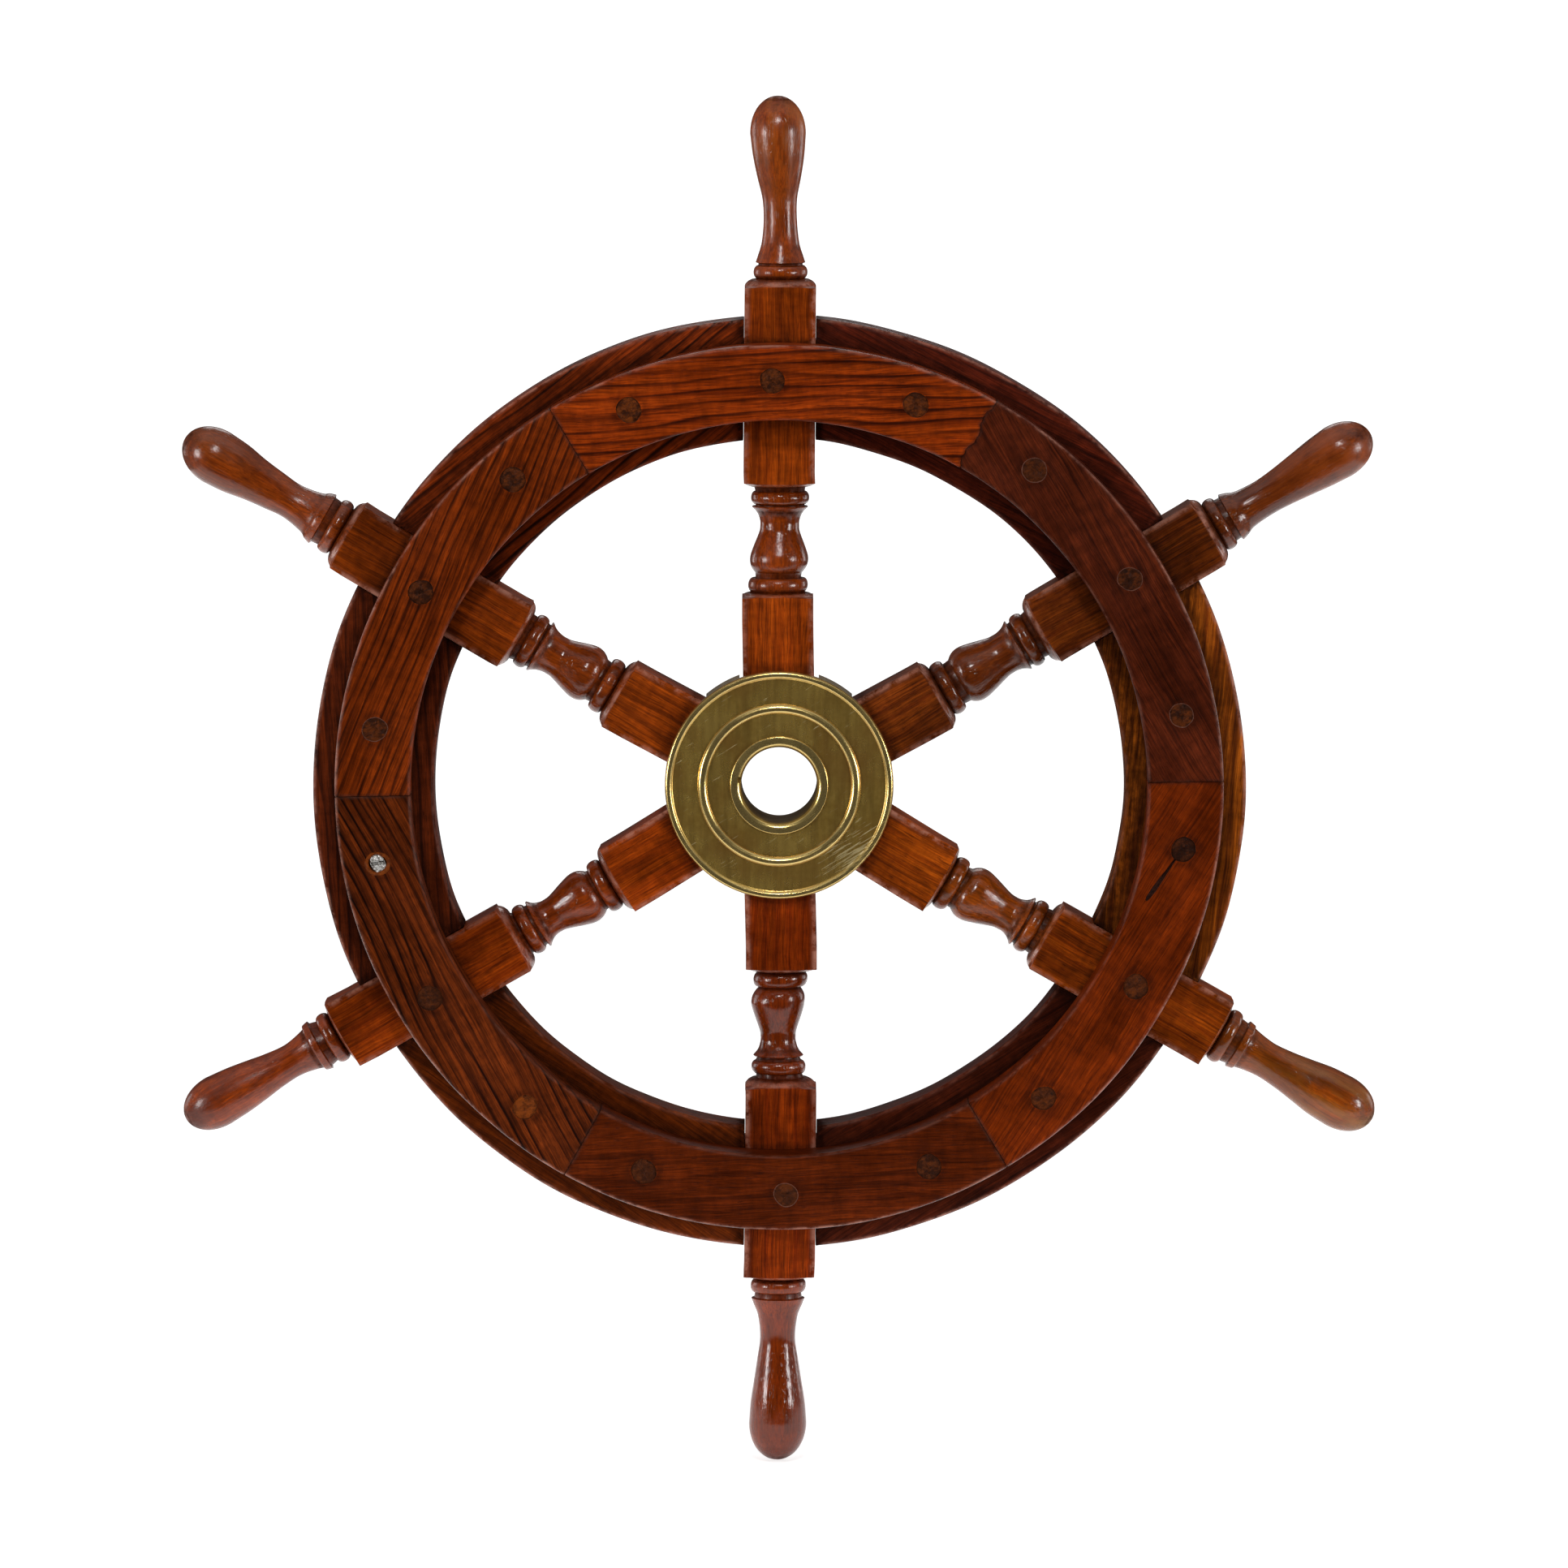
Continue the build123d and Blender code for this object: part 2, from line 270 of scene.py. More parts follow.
def carve(piece, shapes, wall=0, sharp=SHARP_EDGE):
    """Cut shapes out of a piece. The cut's walls take the piece's material of that number."""
    cutter = mesh_object("cutter", join_shapes(shapes), piece.data.materials)
    for face in cutter.data.polygons:
        face.material_index = wall
    modifier = piece.modifiers.new("carve", "BOOLEAN")
    modifier.operation = "DIFFERENCE"
    modifier.solver = "EXACT"
    modifier.material_mode = "INDEX"
    modifier.object = cutter
    graph = bpy.context.evaluated_depsgraph_get()
    carved = bpy.data.meshes.new_from_object(
        piece.evaluated_get(graph), preserve_all_data_layers=True, depsgraph=graph
    )
    piece.modifiers.clear()
    carved.name = piece.data.name + "_carved"
    plain, piece.data = piece.data, carved
    cutter_mesh = cutter.data
    bpy.data.objects.remove(cutter)
    for mesh in (plain, cutter_mesh):
        bpy.data.meshes.remove(mesh)
    carved.shade_smooth()
    carved.set_sharp_from_angle(angle=math.radians(sharp))


def join_shapes(shapes):
    """One shape from several that carry the same marks."""
    points, faces, marks, start = [], [], {}, 0
    for shape_points, shape_faces, shape_marks in shapes:
        points.append(shape_points.reshape(-1, 3))
        faces += [[start + corner for corner in face] for face in shape_faces]
        start += len(points[-1])
        for mark, values in shape_marks.items():
            marks.setdefault(mark, []).append(values.ravel())
    return np.concatenate(points), faces, {mark: np.concatenate(v) for mark, v in marks.items()}


def prism(side, outline, low, high):
    """A straight-walled shape on an outline of (across, up), between two depths on a side."""
    across, up = np.asarray(outline, float).T
    return grid(np.array([side_points(side, across, level, up) for level in (low, high)]))


def fit_into_frame(piece, slot, *nodes):
    """The piece takes the place of CAD nodes, and rides on the wheel's one body."""
    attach(piece, "root")
    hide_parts(*nodes)


# ---------------------------------------------------------------- material helpers

def paint(red, green, blue):
    """A colour given as it looks on a screen, 0 to 255, as the linear colour that shaders take."""
    def linear(value):
        value /= 255
        return value / 12.92 if value <= 0.04045 else ((value + 0.055) / 1.055) ** 2.4
    return (linear(red), linear(green), linear(blue), 1.0)


class Graph:
    """A tree of shader nodes, built step by step."""

    def __init__(self, tree):
        self.tree = tree
        tree.nodes.clear()

    def feed(self, socket, value):
        """Join a socket to another, or set its own value."""
        if isinstance(value, bpy.types.NodeSocket):
            self.tree.links.new(value, socket)
        else:
            socket.default_value = value

    def add(self, kind, *values, **settings):
        """A new node, whose first inputs take the values."""
        node = self.tree.nodes.new(kind)
        for name, value in settings.items():
            setattr(node, name, value)
        for socket, value in zip(node.inputs, values):
            self.feed(socket, value)
        return node

    def math(self, operation, *values):
        return self.add("ShaderNodeMath", *values, operation=operation).outputs[0]

    def times(self, first, second, plus=0.0, clamp=False):
        """first * second + plus."""
        node = self.add("ShaderNodeMath", first, second, plus, operation="MULTIPLY_ADD", use_clamp=clamp)
        return node.outputs[0]

    def vector(self, operation, *values, output="Vector"):
        return self.add("ShaderNodeVectorMath", *values, operation=operation).outputs[output]

    def stretch(self, source, size):
        """Coordinates in which a feature of the given size is one unit each way."""
        return self.vector("DIVIDE", source, size if isinstance(size, tuple) else (size, size, size))

    def noise(self, source, size, detail=2.0, rough=0.5, output="Fac"):
        """Soft random patches of a size, which can differ along, into and across the grain."""
        node = self.add("ShaderNodeTexNoise", noise_dimensions="3D")
        settings = dict(Vector=self.stretch(source, size), Scale=1.0, Detail=detail, Roughness=rough)
        for name, value in settings.items():
            self.feed(node.inputs[name], value)
        return node.outputs[output]

    def warp(self, source, field, amount):
        """Move coordinates by a noise colour, up to an amount each way."""
        centred = self.vector("SUBTRACT", field, (0.5, 0.5, 0.5))
        return self.vector("MULTIPLY_ADD", centred, amount, source)

    def rescale(self, value, low, high, to_low=0.0, to_high=1.0, smooth=False):
        """Map the range low to high onto another, and clamp what is outside."""
        kind = "SMOOTHSTEP" if smooth else "LINEAR"
        values = (value, low, high, to_low, to_high)
        return self.add("ShaderNodeMapRange", *values, clamp=True, interpolation_type=kind).outputs[0]

    def mix(self, factor, first, second, blend="MIX"):
        """Blend two colours."""
        node = self.add("ShaderNodeMix", factor, data_type="RGBA", blend_type=blend)
        self.feed(node.inputs[6], first)
        self.feed(node.inputs[7], second)
        return node.outputs[2]


class Material(Graph):
    """A material's own graph, around one Principled shader."""

    def __init__(self, name):
        self.material = bpy.data.materials.new(name)
        self.material.use_nodes = True
        super().__init__(self.material.node_tree)
        self.shader = self.add("ShaderNodeBsdfPrincipled")
        self.add("ShaderNodeOutputMaterial", self.shader.outputs["BSDF"])

    def set(self, name, value):
        self.feed(self.shader.inputs[name], value)

    def place(self, angle=0.0, start=(0.0, 0.0, 0.0)):
        """Millimetres along the grain, into the wheel and across the grain."""
        node = self.add("ShaderNodeMapping", vector_type="TEXTURE")
        spot = self.add("ShaderNodeTexCoord").outputs["Object"]
        for socket, value in zip(node.inputs, (spot, start, (0.0, -math.radians(angle), 0.0), (MM, MM, MM))):
            self.feed(socket, value)
        return node.outputs[0]

    def mark(self, name):
        """A value that the mesh carries on its points."""
        return self.add("ShaderNodeAttribute", attribute_name=name).outputs["Fac"]

    def bump(self, height, strength, distance, below=None):
        """A normal pushed about by a height, on top of another."""
        node = self.add("ShaderNodeBump")
        settings = dict(Strength=strength, Distance=distance, Height=height)
        for name, value in settings.items():
            self.feed(node.inputs[name], value)
        if below is not None:
            self.feed(node.inputs["Normal"], below)
        return node.outputs[0]


# ---------------------------------------------------------------- wood

TURNED_STAIN = (108, 42, 8)
WORN_GRIP = (150, 80, 36)


def wood_look(light, middle, dark, pitch, rings, pith, wander=0.50, worn=0.35,
              stain=TURNED_STAIN, grip=WORN_GRIP):
    """A wood: three colours, the growth rings' pitch in mm and strength, where the log's middle lies
    from the wheel's, how much the tone wanders, how much the grip colour shows (wear on light grips,
    painted shade on dark grips), and colours for turned lengths."""
    return dict(light=light, middle=middle, dark=dark, pitch=pitch, rings=rings, pith=pith,
                wander=wander, worn=worn, stain=stain, grip=grip)


# Spokes 6 and 8 have dark grip colours: painted shade on those lower handles.
SPOKE_WOODS = {
    12: wood_look((159, 67, 8), (128, 48, 4), (66, 18, 2), 2.6, 0.35, (14, 6), worn=0.70,
                  grip=(184, 100, 38)),
    2: wood_look((129, 59, 12), (93, 36, 7), (41, 12, 4), 2.8, 0.45, (11, -8), worn=0.70, grip=(178, 82, 28)),
    4: wood_look((167, 75, 10), (130, 50, 5), (54, 17, 3), 4.2, 0.55, (9, 4), worn=1.0, stain=(132, 68, 14),
                 grip=(150, 94, 34)),
    6: wood_look((140, 53, 5), (114, 36, 3), (53, 11, 2), 2.4, 0.30, (16, -5), worn=0.65, grip=(94, 32, 9)),
    8: wood_look((156, 63, 6), (127, 45, 4), (68, 20, 2), 2.5, 0.30, (13, 9), worn=0.80, grip=(76, 25, 6)),
    10: wood_look((156, 66, 8), (120, 47, 5), (57, 18, 2), 3.0, 0.40, (12, -3), worn=0.30),
}
FACING_WOODS = {
    12: wood_look((162, 62, 8), (131, 44, 4), (57, 15, 2), 3.2, 1.00, (18, -6), 0.30),
    2: wood_look((92, 36, 14), (69, 24, 9), (33, 9, 5), 3.4, 0.35, (22, 14), 0.45),
    4: wood_look((120, 43, 4), (93, 30, 2), (51, 13, 2), 5.0, 0.20, (30, 5), 0.40),
    6: wood_look((97, 35, 5), (76, 25, 3), (42, 11, 2), 4.5, 0.22, (34, -8), 0.40),
    8: wood_look((114, 47, 12), (75, 28, 6), (23, 5, 2), 2.7, 1.00, (14, -16), 0.30),
    10: wood_look((137, 53, 7), (104, 37, 4), (48, 14, 2), 2.5, 0.90, (20, 10), 0.30),
}
FELLOE_WOODS = {
    1: wood_look((110, 38, 18), (82, 28, 13), (36, 11, 8), 3.0, 0.65, (18, 6), 0.50),
    3: wood_look((178, 92, 20), (108, 44, 6), (48, 14, 4), 6.0, 0.70, (16, -12), 0.60),
    5: wood_look((86, 32, 13), (63, 21, 8), (32, 9, 5), 3.5, 0.40, (22, 4), 0.50),
    7: wood_look((116, 48, 7), (87, 33, 5), (44, 14, 3), 3.2, 0.45, (20, -6), 0.45),
    9: wood_look((108, 42, 13), (83, 30, 10), (38, 12, 6), 3.0, 0.85, (17, 9), 0.45),
    11: wood_look((153, 58, 13), (108, 39, 8), (39, 13, 5), 3.0, 1.00, (15, -20), 0.40),
}
FACING_GRAIN = {12: 3, 2: -60, 4: 58, 6: 2, 8: -62, 10: 68}
FELLOE_GRAIN = {1: -28, 3: 84, 5: 32, 7: -34, 9: 93, 11: 38}
# Pale colour for worn varnish and for painted highlights along rounded edges
WORN_EDGE_AND_HIGHLIGHT = paint(186, 128, 108)
# Dark colour for dirt and for painted shade in corners, grooves and recesses
GRIME_AND_SHADE = paint(26, 12, 8)


def growth_rings(graph, look, place, shifted):
    """Dark lines at a pitch from the log's wandering middle, long on the faces of the wood."""
    wandering = graph.warp(place, graph.noise(shifted, (90, 30, 30), output="Color"), (0.0, 11.0, 11.0))
    centred = graph.vector("SUBTRACT", wandering, (0.0, *look["pith"]))
    radius = graph.vector("LENGTH", graph.stretch(centred, (700, 1, 1)), output="Value")
    wobble = graph.noise(shifted, (60, 5, 5), 3.0)
    ring = graph.math("FRACT", graph.times(wobble, 0.9, graph.math("DIVIDE", radius, look["pitch"])))
    rise = graph.rescale(ring, 0.10, 0.85, 0.0, 0.40)
    line = graph.rescale(ring, 0.58, 0.82, 0.0, 0.60, smooth=True)
    drop = graph.rescale(ring, 0.88, 1.0, 1.0, 0.0)
    late = graph.times(graph.math("ADD", rise, line), drop)
    patchy = graph.rescale(graph.noise(shifted, (60, 7, 7)), 0.32, 0.56, 0.40, 1.0)
    return graph.times(graph.times(late, patchy), look["rings"], clamp=True)


def wood_material(name, look, grain_angle, seed):
    """Varnished hardwood with growth rings, streaks, open pores, dirt and painted shade in corners, and worn
    edges with painted highlights.
    """
    graph = Material(name)
    light, middle, dark = (paint(*look[tone]) for tone in ("light", "middle", "dark"))
    start = tuple(np.random.default_rng(seed).uniform(-0.5, 0.5, 3))
    place = graph.place(grain_angle)
    shifted = graph.place(grain_angle, start)
    rings = growth_rings(graph, look, place, shifted)

    # Streaks and fibres run the length of the piece; pores are short dark dashes
    wavy = graph.warp(shifted, graph.noise(shifted, (30, 12, 12), output="Color"), (0, 2.6, 2.6))
    streak = graph.rescale(graph.noise(wavy, (60, 1.7, 1.7), 4.0, 0.6), 0.3, 0.7)
    dark_streak = graph.rescale(graph.noise(wavy, (48, 0.9, 0.9), 4.0, 0.62), 0.50, 0.66)
    fibre = graph.noise(wavy, (12, 0.38, 0.38), 3.0, 0.6)
    pore = graph.rescale(graph.noise(shifted, (3.0, 0.22, 0.22), 1.0), 0.62, 0.72)
    tone = graph.noise(shifted, (34, 14, 14))
    color = graph.mix(streak, middle, light)
    color = graph.mix(graph.times(dark_streak, 0.55), color, dark)
    color = graph.mix(rings, color, dark)
    fibre_shade = graph.rescale(fibre, 0.3, 0.7, 0.50, 1.36)
    tone_shade = graph.rescale(tone, 0.28, 0.72, 1.0 - look["wander"], 1.0 + look["wander"])
    figure = graph.rescale(graph.noise(shifted, (2.6, 5.5, 5.5), 3.0, 0.6), 0.3, 0.7, 0.78, 1.22)
    shade_value = graph.times(graph.times(fibre_shade, tone_shade), figure)
    grey = graph.add("ShaderNodeCombineColor", *[shade_value] * 3).outputs[0]
    color = graph.mix(1.0, color, grey, "MULTIPLY")
    color = graph.mix(graph.times(pore, 0.60), color, dark)

    # Turned lengths took the stain more evenly, and the grips are worn lighter; the dark grips of spokes 6
    # and 8 are painted shade on those lower handles
    turned = graph.mark("turned")
    color = graph.mix(graph.times(turned, 0.25), color, paint(*look["stain"]))
    held = graph.rescale(graph.noise(shifted, (16, 5, 5), 3.0), 0.35, 0.65)
    grip = graph.times(graph.times(graph.mark("grip"), held), look["worn"])
    color = graph.mix(grip, color, paint(*look["grip"]))

    # Dirt and painted shade in the corners, grooves and recesses, and worn varnish and painted highlights as
    # a pale colour along the edges
    mottle = graph.noise(shifted, (2.5, 1.5, 1.5), 3.0, 0.6)
    dirt_and_shade = graph.times(graph.mark("grime"), graph.rescale(mottle, 0.25, 0.6, 0.35, 1.0))
    color = graph.mix(graph.times(dirt_and_shade, 0.85, clamp=True), color, GRIME_AND_SHADE)
    broken = graph.rescale(graph.noise(shifted, 4, 4.0, 0.7), 0.40, 0.60)
    rubbed = graph.rescale(graph.noise(shifted, 26), 0.34, 0.60, 0.45, 1.0)
    # Painted highlight along the edges, with some wear
    wear_and_highlight = graph.times(graph.mark("edge"), graph.times(broken, rubbed))
    graph.set("Base Color", graph.mix(graph.times(wear_and_highlight, 0.85), color, WORN_EDGE_AND_HIGHLIGHT))

    # Varnish: uneven gloss, sunk a little over pores and fibres, smoother on turned lengths
    gloss = graph.rescale(tone, 0.3, 0.7, 0.32, 0.48)
    for cause, change in ((turned, -0.23), (grip, 0.14), (dirt_and_shade, 0.25)):
        gloss = graph.times(cause, change, gloss)
    graph.set("Roughness", gloss)
    # Less specular where the dirt and painted shade lie
    clean_and_unshaded = graph.rescale(dirt_and_shade, 0.0, 0.8, 1.0, 0.10)
    graph.set("Specular IOR Level", graph.times(clean_and_unshaded, graph.rescale(turned, 0.0, 1.0, 0.06, 0.50)))
    flow = graph.bump(graph.noise(shifted, (7, 2.5, 2.5), 3.0, 0.6), 0.30, 0.0004)
    graph.set("Normal", graph.bump(graph.times(pore, -0.8, fibre), 0.30, 0.00012, flow))
    return graph.material


def dark_wood_material():
    """Dirty end grain on the walls of the holes and cracks, painted dark also as the shade inside them."""
    graph = Material("hole_wall_wood_and_shade")
    speck = graph.noise(graph.place(), 0.8, 3.0, 0.6)
    graph.set("Base Color", graph.mix(graph.rescale(speck, 0.35, 0.7), paint(30, 11, 5), paint(74, 34, 18)))
    graph.set("Roughness", graph.rescale(speck, 0.3, 0.7, 0.6, 0.8))
    graph.set("Specular IOR Level", 0.2)
    graph.set("Normal", graph.bump(speck, 0.4, 0.0002))
    return graph.material


# ---------------------------------------------------------------- spokes

def bead(start, end, foot, crown, count=14):
    """A half-round bead between two grooves, as (distance, radius) pairs."""
    turn = np.linspace(0, np.pi, count)
    middle, half = (start + end) / 2, (end - start) / 2
    return np.stack([middle - half * np.cos(turn), foot + (crown - foot) * np.sin(turn)], axis=1)


def smooth_curve(knots, steps=7):
    """A smooth curve through (distance, radius) knots."""
    knots = np.asarray(knots, float)
    ends = np.vstack([2 * knots[0] - knots[1], knots, 2 * knots[-1] - knots[-2]])
    out = []
    for k in range(1, len(ends) - 2):
        before, here, there, after = ends[k - 1:k + 3]
        t = np.linspace(0, 1, steps, endpoint=False)[:, None]
        bend = (2 * before - 5 * here + 4 * there - after) * t ** 2
        twist = (3 * here - before - 3 * there + after) * t ** 3
        out.append(0.5 * (2 * here + (there - before) * t + bend + twist))
    return np.vstack(out + [knots[-1:]])


def shoulder(end, outward, depth):
    """The rounded end of a square block, between its full corners and the groove beyond it."""
    knots = [(end - outward * depth * inset, radius) for inset, radius in SHOULDER_FALL]
    return smooth_curve(knots[::outward], 3)


def block_faces(start, end, count):
    """Stations along a square block, where the lathe never touched it."""
    return [(s, STICK_CLEAR) for s in np.linspace(start, end, count)]


def turned_profile(spoke):
    """The lathe's outline along a spoke: (distance from the wheel's centre, radius)."""
    hub_end, bead_1, bulb, cove, lip, bead_2, rim_start, rim_end, bead_3, grip_lip = spoke["places"]
    bead_1_to, bulb_to, cove_to, lip_to, bead_2_to, bead_3_to, grip_lip_to = spoke["radii"]
    hub_depth, start_depth, end_depth = spoke["shoulders"]
    fall = [(bulb + (cove - bulb) * t, cove_to + (bulb_to - cove_to) * w) for t, w in BULB_FALL]
    rise = [(cove + (lip - cove) * t, cove_to + (lip_to - cove_to) * w) for t, w in LIP_RISE]
    swelling = smooth_curve([
        (bulb - 3.6, 0.80 * bulb_to), (bulb - 2.8, 0.885 * bulb_to), (bulb - 1.8, 0.955 * bulb_to),
        (bulb - 0.8, 0.99 * bulb_to), (bulb + 0.1, bulb_to), *fall, *rise,
    ])
    grip = smooth_curve([
        (grip_lip, grip_lip_to), (grip_lip + 1.8, 0.35 * spoke["grip"][0] + 0.65 * grip_lip_to),
        *zip(GRIP_STATIONS, spoke["grip"]),
    ])
    share = np.sin(np.linspace(0, 0.985, 22)[1:] * np.pi / 2)
    nose_radius = spoke["grip"][-1] * (1 - share ** 2.1) ** 0.5
    nose = np.stack([NOSE_START + (TIP_RADIUS - NOSE_START) * share, nose_radius], axis=1)
    return np.vstack([
        [(SPOKE_START, STICK_CLEAR)],
        block_faces(13.5, hub_end - 2.6, 24),
        shoulder(hub_end, 1, hub_depth),
        [(hub_end + 0.15, bead_1_to - 0.9)],
        bead(bead_1 - BEAD_HALF, bead_1 + BEAD_HALF, bead_1_to - 1.2, bead_1_to),
        [(bead_1 + BEAD_HALF + 0.1, 0.78 * bulb_to)],
        swelling,
        [(lip + 0.25, lip_to - 0.15), (lip + 0.3, lip_to - 1.0), (lip + 0.65, lip_to - 1.0)],
        bead(bead_2 - BEAD_HALF + 0.35, bead_2 + BEAD_HALF, bead_2_to - 1.2, bead_2_to),
        [(rim_start - 0.15, bead_2_to - 1.0)],
        shoulder(rim_start, -1, start_depth),
        block_faces(rim_start + 2.8, rim_end - 2.8, 34),
        shoulder(rim_end, 1, end_depth),
        [(rim_end + 0.15, bead_3_to - 1.0)],
        bead(bead_3 - BEAD_HALF, bead_3 + BEAD_HALF - 0.2, bead_3_to - 1.3, bead_3_to),
        [(grip_lip - 0.35, grip_lip_to - 0.8)],
        grip,
        nose,
    ])


def sway(hour, distance):
    """How far a spoke strays anticlockwise from its true line, at a distance from the centre."""
    return np.interp(distance, SWAY_STATIONS, SPOKES[hour]["sway"])


def spoke_turns(count=112):
    """Angles round a spoke, closer together near the corners of the square."""
    turn = full_turn(count)
    return turn + 0.72 * np.sin(4 * turn) / 4


def groove_depth(distance, lathe):
    """How deep each station lies below the fuller radii within a few millimetres of it."""
    apart = np.abs(distance - distance.T)
    fuller = np.where(apart < 1.3, np.minimum(lathe, HALF_STICK).T, 0).max(axis=1, keepdims=True)
    return np.clip((fuller - lathe - 0.5) / 0.7, 0, 1)


def make_spoke(hour, material):
    """A square stick, turned between its blocks, with a grip at the end."""
    rng = np.random.default_rng(100 + hour)
    profile = turned_profile(SPOKES[hour])
    distance, lathe = profile[:, :1], profile[:, 1:]
    turn = spoke_turns()[None, :]
    corner = np.abs(np.cos(turn)) ** SQUARENESS + np.abs(np.sin(turn)) ** SQUARENESS
    square = HALF_STICK / corner ** (1 / SQUARENESS)
    reach = (square ** -CROSSING + lathe ** -CROSSING) ** (-1 / CROSSING)
    turned = np.clip((square * 0.995 - lathe) / 1.2 + 0.5, 0, 1) * (np.min(square) * 1.02 > lathe)
    unevenness = ripple(rng, distance / 9.0) + ripple(rng, 2 * turn) * 0.6
    reach = reach - RIPPLE * (0.6 + 0.4 * unevenness)
    flat_half = distance * math.tan(math.radians(HALF_SPACING)) - 0.02
    sideways = np.clip(reach * np.cos(turn) + sway(hour, distance), -flat_half, flat_half)
    depth = reach * np.sin(turn)
    angle = math.radians(clock_angle(hour))
    x = distance * math.cos(angle) - sideways * math.sin(angle)
    z = distance * math.sin(angle) + sideways * math.cos(angle)
    points = np.stack(np.broadcast_arrays(x, depth, z), axis=-1)
    points = np.clip(points, np.array(cad_low) / MM + BOX_MARGIN, np.array(cad_high) / MM - BOX_MARGIN)

    # The edge mark paints highlights, with some wear, on the block corners and the arrises at the block ends
    in_block = lathe > HALF_STICK * 1.03
    near_corner = np.clip((square / HALF_STICK - 1.30) / 0.07, 0, 1)
    end_arris = np.exp(-((lathe - HALF_STICK) / 0.9) ** 2)
    edge = np.maximum(in_block * near_corner, 0.8 * end_arris)
    # Darkened as painted shade, with some dirt: beside the facings' edges, beside the hub cap and in the
    # grooves. shaded is a broader painted shadow beside the facings.
    off_ring = np.minimum(np.abs(distance - FACING_INNER), np.abs(distance - FACING_OUTER))
    beside_ring = np.exp(-(off_ring / 1.0) ** 2) * (np.abs(np.sin(turn)) > 0.7)
    beside_cap = np.exp(-((distance - CAP_RADIUS) / 1.6) ** 2)
    groove = groove_depth(distance, lathe)
    shaded = 0.30 * np.exp(-(off_ring / 5.0) ** 2) * (np.abs(np.sin(turn)) > 0.7)
    grime = np.maximum(np.maximum(0.7 * beside_ring + shaded, 0.8 * beside_cap), 0.85 * groove)
    grip = np.clip((distance - GRIP_STATIONS[0]) / 35, 0, 1)
    shape = grid(points, turned=turned, edge=edge, grime=grime, grip=grip)
    piece = mesh_object(f"turned_spoke_{hour:02d}", shape, [material], 50.0)
    fit_into_frame(piece, "spoke_wood", f"spoke_{hour:02d}")


# ---------------------------------------------------------------- rim

def rounded_section(inner, outer, near, far, near_round, far_round, steps=5):
    """A rounded oblong across the rim: (radius, depth, edge) rows, from the far outer corner round."""
    # Each corner: centre, round, first angle, wear and painted highlight along it, and the pieces of the
    # straight run after it
    corners = (
        (outer - far_round, far + far_round, far_round, -90, 0.30, 9),
        (outer - near_round, near - near_round, near_round, 0, 0.85, 14),
        (inner + near_round, near - near_round, near_round, 90, 0.25, 9),
        (inner + far_round, far + far_round, far_round, 180, 0.20, 14),
    )
    share = np.linspace(0, 1, steps + 1)
    arcs = []
    for radius, depth, size, start, wear_and_highlight, _ in corners:
        turn = np.radians(start + 90 * share)
        peak = wear_and_highlight * np.exp(-((share - 0.5) / 0.22) ** 2)
        arcs.append(np.stack([radius + size * np.cos(turn), depth + size * np.sin(turn), peak], axis=1))
    rows = []
    for k, arc in enumerate(arcs):
        line = np.linspace(arc[-1], arcs[(k + 1) % 4][0], corners[k][-1] + 1)[1:-1]
        line[:, 2] = 0.0
        rows += [arc, line]
    return np.concatenate(rows)


def swept_piece(section, first, last, rng, side, wave, count=96):
    """Sweep a section round the rim, from first(radius) to last(radius) in degrees."""
    along = np.concatenate([[-1, -0.9965], np.linspace(-0.985, 0.985, count), [0.9965, 1]])[:, None]
    radius, depth, edge = section.T[:, None, :]
    shrink = np.where(np.abs(along) > 0.999, END_ROUND, 0.0)
    radius_here = radius + wave * ripple(rng, along * 2.4) - shrink * np.sign(radius - radius.mean())
    depth_wave = 0.12 * wave * ripple(rng, along * 3.1 + radius / 9)
    depth_here = depth + depth_wave - shrink * np.sign(depth - depth.mean())
    angle = first(radius) + (along + 1) / 2 * (last(radius) - first(radius))
    points = polar(radius_here, angle, depth_here, side)
    # A little painted highlight, with some wear, along the ends of each piece
    end_wear_and_highlight = np.exp(-((1 - np.abs(along)) / 0.006) ** 2)
    outer_wall = OUTER_GLOSS * (radius > radius.max() - 0.4)
    return points, np.maximum(edge, 0.12 * end_wear_and_highlight), along, outer_wall


def plug_outline(side, hour, step, turn):
    """Radius of a hand-cut hole and of the plug in it, which is never quite round."""
    rng = np.random.default_rng(1000 + 100 * hour + 10 * step + side)
    squash, lean = rng.uniform(0.0, 0.07), rng.uniform(0, np.pi)
    return PLUG_RADIUS * (0.94 - squash * np.cos(turn - lean) ** 2 + 0.055 * ripple(rng, turn, 9))


def hole_shapes(side, hour):
    """Plugs of space, to cut a facing's three counterbores from its face."""
    turn = full_turn()
    shapes = []
    for step, across, up in screw_centres(side, hour):
        radius = plug_outline(side, hour, step, turn)
        outline = np.stack([across + radius * np.cos(turn), up + radius * np.sin(turn)], axis=1)
        shapes.append(prism(side, outline, RIM_FACE - PLUG_DEPTH, RIM_FACE + 1.0))
    return shapes


def screw_centres(side, hour):
    """The three screws of a facing: which one, and its (across, up) in the side's own view."""
    spots = []
    for step in (-1, 0, 1):
        turn = math.radians(side_angle(side, hour) + FACING_TURN + step * SCREW_STEP)
        spots.append((step, SCREW_CIRCLE * math.cos(turn), SCREW_CIRCLE * math.sin(turn)))
    return spots


